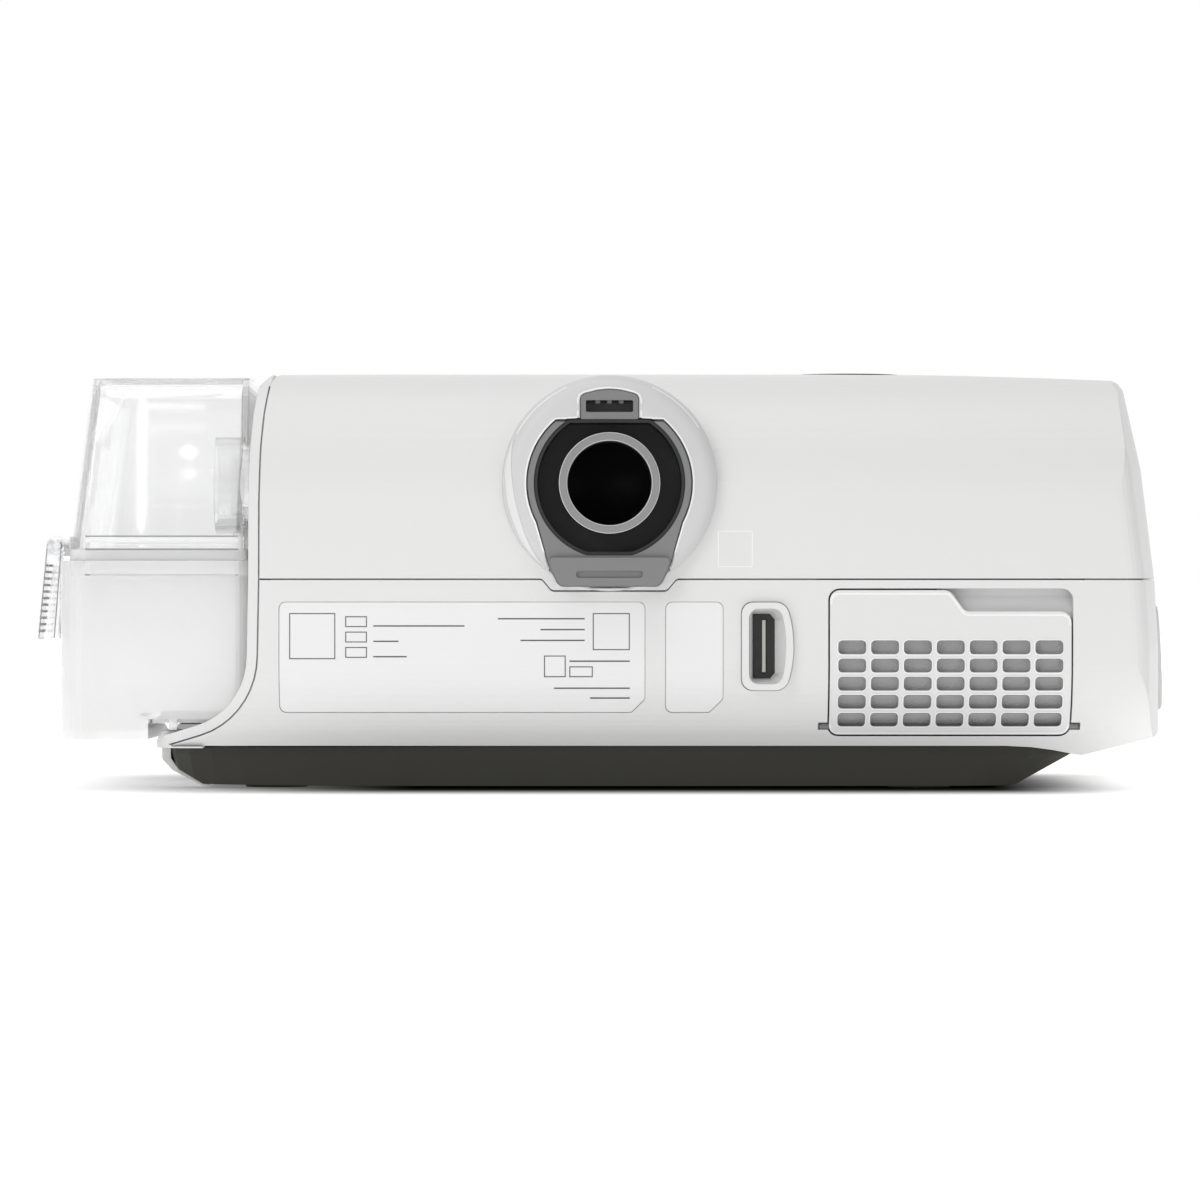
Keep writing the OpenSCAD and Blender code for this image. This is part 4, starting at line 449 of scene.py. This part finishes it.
def inlet_funnel():
    """Pale sloping wall between the power inlet's bezel and its insulator."""
    throat = [(3.2, -7.2, 0.4), (3.2, 7.2, 0.4), (-0.6, 7.2, 0.4),
              (-1.7, 5.9, 0.4), (-1.7, -5.9, 0.4), (-0.6, -7.2, 0.4)]
    mouth = [(3.9, -8.5, 1.8), (3.9, 8.5, 1.8), (-2.4, 8.5, 1.2),
             (-4.4, 5.6, 2.5), (-4.4, -5.6, 2.5), (-2.4, -8.5, 1.2)]
    rings = []
    for corners, y in ((throat, INLET_THROAT_Y), (mouth, INLET_MOUTH_Y)):
        rings.append([(INLET_X + x, y, INLET_Z + z) for x, z in rounded(corners)])
    rings += [[(x, y - INLET_WALL, z) for x, y, z in ring] for ring in reversed(rings)]
    vertices = [point for ring in rings for point in ring]
    faces = ring_faces(len(rings), len(rings[0]))
    piece("inlet_funnel", vertices, faces, "housing", "shell", MATERIALS["shell"], smooth=True)


def tub_painted_lines():
    """Painted lines across the tub's rear: two of painted shade and a band of painted highlight on the
    lid's flange, and one of painted shade on the base's rim.
    """
    def level(z, width):
        return ribbon([(TUB_X0, z), (TUB_X1, z)], width, depth=lambda x, z: TUB_RIM_Y - 0.1, proud=0.08)

    edges = [level(LID_SHADE_LINES_Z[0], 0.3), level(LID_SHADE_LINES_Z[1], 0.4)]
    piece("lid_painted_shade_lines", *joined(edges), "lid", "clear_plastic", PAINTED_SHADE)
    piece("lid_flange_painted_highlight", *level(LID_HIGHLIGHT_Z, 0.9), "lid", "clear_plastic", HIGHLIGHT_AND_PRINT)
    piece("base_rim_painted_shade", *level(TUB_SHADE_LINE_Z, 0.3), "tub", "milky_plastic", PAINTED_SHADE)


def latch_ribs_with_painted_shade():
    """Grip ribs down the outer face of the tub's latch, coloured dark as painted shade."""
    parts = []
    for i in range(RIB_COUNT):
        z = RIB_Z0 + i * RIB_PITCH
        x = LATCH_X - (z - LATCH_Z0) * LATCH_LEAN
        xs, ys, zs = (x - RIB_DEPTH, x - 0.02), (-RIB_HALF, RIB_HALF), (z - RIB_H / 2, z + RIB_H / 2)
        vertices = [(u, v, w) for u in xs for v in ys for w in zs]
        faces = [(0, 1, 3, 2), (4, 6, 7, 5), (0, 4, 5, 1), (2, 3, 7, 6), (0, 2, 6, 4), (1, 5, 7, 3)]
        parts.append((vertices, faces))
    piece("latch_ribs_with_painted_shade", *joined(parts), "latch", "clear_plastic", PAINTED_SHADE)


def latch_painted_outline():
    """Fine dark line round the end of the tub's latch, painted as shade."""
    x = LATCH_X - 0.2
    z0, z1 = LATCH_Z0 - 0.3, LATCH_Z0 + LATCH_H
    line = [(x, z0), (x - 2.0, z1), (x - 5.2, z1), (x - 3.5, z0)]
    band = ribbon(line, width=0.25, depth=lambda x, z: LATCH_HALF - 0.1, proud=0.08, closed=True)
    piece("latch_painted_outline", *band, "latch", "clear_plastic", PAINTED_SHADE)


def symbol_frame():
    """Empty printed square beside the outlet."""
    square = frame_loop(-33.6, 49.8, -26.3, 57.4, r=0.01, width=0.22, proud=0.02)
    piece("side_mark", *square, "housing", "label", HIGHLIGHT_AND_PRINT)


def printed_bar(x0, z0, x1, z1, steps=2):
    """A thin printed bar that lies on the label and bends with it."""
    lift = PRINT_PROUD - LABEL_DEPTH
    heights = [z0 + (z1 - z0) * i / steps for i in range(steps + 1)]
    vertices = [(x, rear_y(z) + lift + d, z) for d in (0, -PRINT_SINK) for z in heights for x in (x0, x1)]
    side = 2 * (steps + 1)
    faces = []
    for i in range(steps):
        a = 2 * i
        faces += [(a, a + 1, a + 3, a + 2), (side + a + 2, side + a + 3, side + a + 1, side + a),
                  (a + 2, side + a + 2, side + a, a), (a + 1, side + a + 1, side + a + 3, a + 3)]
    top = 2 * steps
    faces += [(0, side, side + 1, 1), (top + 1, side + top + 1, side + top, top)]
    return vertices, faces


def printed_box(x0, z0, x1, z1):
    """An empty printed box made of four bars."""
    in_x0, in_z0, in_x1, in_z1 = x0 + BOX_LINE, z0 + BOX_LINE, x1 - BOX_LINE, z1 - BOX_LINE
    return [printed_bar(x0, z0, x1, in_z0), printed_bar(x0, in_z1, x1, z1),
            printed_bar(x0, in_z0, in_x0, in_z1, steps=6),
            printed_bar(in_x1, in_z0, x1, in_z1, steps=6)]


def label_print():
    """Empty boxes, as (x0, z0, x1, z1), and rules, as (x0, z, x1), of a blank rating label."""
    boxes = [(58.6, 29.2, 68.8, 39.4), (51.6, 36.3, 56.4, 38.7), (51.6, 32.9, 56.4, 35.3),
             (51.6, 29.5, 56.4, 31.9), (-6.6, 31.2, 1.6, 39.4), (7.6, 25.2, 12.4, 30.0),
             (1.6, 25.2, 6.8, 27.6)]
    rules = [(30.0, 36.4, 50.2), (44.6, 33.0, 50.2), (42.8, 29.6, 50.2),
             (3.4, 38.0, 22.6), (3.4, 35.6, 13.2), (3.4, 33.2, 17.6),
             (-6.6, 28.6, 6.8), (-6.6, 22.6, 10.2), (-6.6, 20.4, 2.2)]
    box_bars = [bar for box in boxes for bar in printed_box(*box)]
    rule_bars = [printed_bar(x0, z, x1, z + RULE_H) for x0, z, x1 in rules]
    piece("label_boxes", *joined(box_bars), "housing", "label", INK_AND_SHADE)
    piece("label_rules", *joined(rule_bars), "housing", "label", INK_AND_SHADE)


# Lighting


def backdrop_strength(tree):
    """To Min for light that falls on things, To Max for what the lens, gloss or a clear wall sees."""
    path = tree.nodes.new("ShaderNodeLightPath")
    seen = path.outputs["Is Camera Ray"]
    for ray in ("Is Glossy Ray", "Is Transmission Ray"):
        either = tree.nodes.new("ShaderNodeMath")
        either.operation = "MAXIMUM"
        tree.links.new(seen, either.inputs[0])
        tree.links.new(path.outputs[ray], either.inputs[1])
        seen = either.outputs[0]
    strength = tree.nodes.new("ShaderNodeMapRange")
    tree.links.new(seen, strength.inputs["Value"])
    return strength


# Half the floor's side, in metres
FLOOR_HALF = 6
# Contact shadow painted into the floor's colour, in metres: full up to the first number, gone at the
# second
SHADE_LEFT = (0.04, 0.15)
SHADE_RIGHT = (-0.088, -0.13)
SHADE_REAR = (0.05, 0.112)
SHADE_FRONT = (-0.05, -0.112)
# The floor's grey in the open, and where its painted shadow is full
FLOOR_WHITE = 0.92
FLOOR_SHADED = 0.02
# How strongly the floor shines to the lens beside the machine, and how far off that is 1, in metres
FLOOR_SHINE = 0.55
FLOOR_REACH = 0.6
# Glow that the floor gives off as painted bounce light, beside the machine and far from it, and how far
# that is, in metres
FLOOR_GLOW_NEAR = 0.62
FLOOR_GLOW_FAR = 0.08
FLOOR_GLOW_REACH = 0.36
# Strength of the light from all round, as it falls on things
WORLD_LIGHT = 0.42


def floor_shade(tree):
    """Painted shadow, one right under the machine, falling to nothing beyond its four sides."""
    coords = tree.nodes.new("ShaderNodeTexCoord")
    axes = tree.nodes.new("ShaderNodeSeparateXYZ")
    tree.links.new(coords.outputs["Object"], axes.inputs["Vector"])
    shade = None
    sides = (("X", SHADE_LEFT), ("X", SHADE_RIGHT), ("Y", SHADE_REAR), ("Y", SHADE_FRONT))
    for axis, (full, gone) in sides:
        fade = tree.nodes.new("ShaderNodeMapRange")
        fade.interpolation_type = "SMOOTHSTEP"
        fade.inputs["From Min"].default_value = full
        fade.inputs["From Max"].default_value = gone
        fade.inputs["To Min"].default_value = 1
        fade.inputs["To Max"].default_value = 0
        tree.links.new(axes.outputs[axis], fade.inputs["Value"])
        if shade is None:
            shade = fade.outputs["Result"]
            continue
        both = tree.nodes.new("ShaderNodeMath")
        both.operation = "MULTIPLY"
        tree.links.new(shade, both.inputs[0])
        tree.links.new(fade.outputs["Result"], both.inputs[1])
        shade = both.outputs[0]
    return shade


def by_distance(tree, reach, near, far):
    """A value that goes from near to far as the distance grows from half the reach to the reach."""
    coords = tree.nodes.new("ShaderNodeTexCoord")
    distance = tree.nodes.new("ShaderNodeVectorMath")
    distance.operation = "LENGTH"
    value = tree.nodes.new("ShaderNodeMapRange")
    value.interpolation_type = "SMOOTHSTEP"
    value.inputs["From Min"].default_value = reach / 2
    value.inputs["From Max"].default_value = reach
    value.inputs["To Min"].default_value = near
    value.inputs["To Max"].default_value = far
    tree.links.new(coords.outputs["Object"], distance.inputs[0])
    tree.links.new(distance.outputs["Value"], value.inputs["Value"])
    return value.outputs["Result"]


def add_floor():
    """White floor with a shadow painted dark right under the machine, that glows to light things and is
    white to the lens.
    """
    mesh = bpy.data.meshes.new("floor")
    corners = [(FLOOR_HALF * x, FLOOR_HALF * y, 0) for x, y in ((-1, -1), (1, -1), (1, 1), (-1, 1))]
    mesh.from_pydata(corners, [], [(0, 1, 2, 3)])
    floor = bpy.data.objects.new("floor", mesh)
    bpy.context.scene.collection.objects.link(floor)
    material, tree, bsdf = shader("floor")
    bsdf.inputs["Roughness"].default_value = 0.9
    bsdf.inputs["Specular IOR Level"].default_value = 0
    bsdf.inputs["Emission Color"].default_value = (1, 1, 1, 1)
    shade = floor_shade(tree)
    tone = tree.nodes.new("ShaderNodeMix")
    tone.data_type = "RGBA"
    tone.inputs["A"].default_value = (FLOOR_WHITE, FLOOR_WHITE, FLOOR_WHITE, 1)
    tone.inputs["B"].default_value = (FLOOR_SHADED, FLOOR_SHADED, FLOOR_SHADED, 1)
    tree.links.new(shade, tone.inputs["Factor"])
    tree.links.new(tone.outputs["Result"], bsdf.inputs["Base Color"])
    shine = tree.nodes.new("ShaderNodeMapRange")
    shine.inputs["To Max"].default_value = 0
    tree.links.new(shade, shine.inputs["Value"])
    tree.links.new(by_distance(tree, FLOOR_REACH, FLOOR_SHINE, 1), shine.inputs["To Min"])
    strength = backdrop_strength(tree)
    # The floor glows onto things as painted bounce light
    tree.links.new(by_distance(tree, FLOOR_GLOW_REACH, FLOOR_GLOW_NEAR, FLOOR_GLOW_FAR), strength.inputs["To Min"])
    tree.links.new(shine.outputs["Result"], strength.inputs["To Max"])
    tree.links.new(strength.outputs["Result"], bsdf.inputs["Emission Strength"])
    mesh.materials.append(material)


def add_world():
    """Even light from all round, white to the lens."""
    world = bpy.data.worlds.new("world")
    world.use_nodes = True
    tree = world.node_tree
    background = tree.nodes["Background"]
    strength = backdrop_strength(tree)
    strength.inputs["To Min"].default_value = WORLD_LIGHT
    strength.inputs["To Max"].default_value = 1
    tree.links.new(strength.outputs["Result"], background.inputs["Strength"])
    background.inputs["Color"].default_value = (1, 1, 1, 1)
    bpy.context.scene.world = world


def add_lamp(name, place, target, size, power, shape="RECTANGLE"):
    """A flat lamp that looks at the target, in metres and watts."""
    lamp = bpy.data.objects.new(name, bpy.data.lights.new(name, "AREA"))
    bpy.context.scene.collection.objects.link(lamp)
    lamp.data.shape = shape
    lamp.data.size = size[0]
    lamp.data.size_y = size[1]
    lamp.data.energy = power
    direction = np.array(target) - np.array(place)
    lamp.location = place
    flat = math.hypot(direction[0], direction[1])
    lamp.rotation_euler = (math.atan2(flat, -direction[2]), 0, math.atan2(-direction[0], direction[1]))


add_camera()
dress_cad()
slot_rims_and_shade()
cover_edge_highlight()
recess_rim_highlight()
boss_painted_highlights()
nozzle_edge_highlights()
bore_painted_shade()
tub_painted_lines()
latch_ribs_with_painted_shade()
latch_painted_outline()
inlet_funnel()
symbol_frame()
label_print()
add_floor()
add_world()
# Lamps by place, target, size and power: soft light from above, from the side and from behind the lens
add_lamp("over", (0.15, 0.25, 1.2), (0, 0, 0), (1.4, 1.2), 6.6)
add_lamp("key", (0.75, 1.1, 0.7), (0, 0, 0.05), (0.45, 0.45), 2.8)
add_lamp("fill", (0, 1.7, 0.08), (0, 0, 0.05), (2.0, 0.16), 0.6)
# Small lamps that the lid of the tub reflects as two bars and a spot
add_lamp("upright_bar", (0.2765, 2.5, 0.398), (0.102, 0.05, 0.073), (0.0035, 0.088), 0.009)
add_lamp("level_bar", (0.2565, 2.5, 0.428), (0.094, 0.05, 0.086), (0.036, 0.0024), 0.0022)
add_lamp("spot", (0.248, 2.5, 0.400), (0.091, 0.05, 0.074), (0.008, 0.0065), 0.0018, "ELLIPSE")

bpy.context.scene.view_settings.view_transform = "Standard"
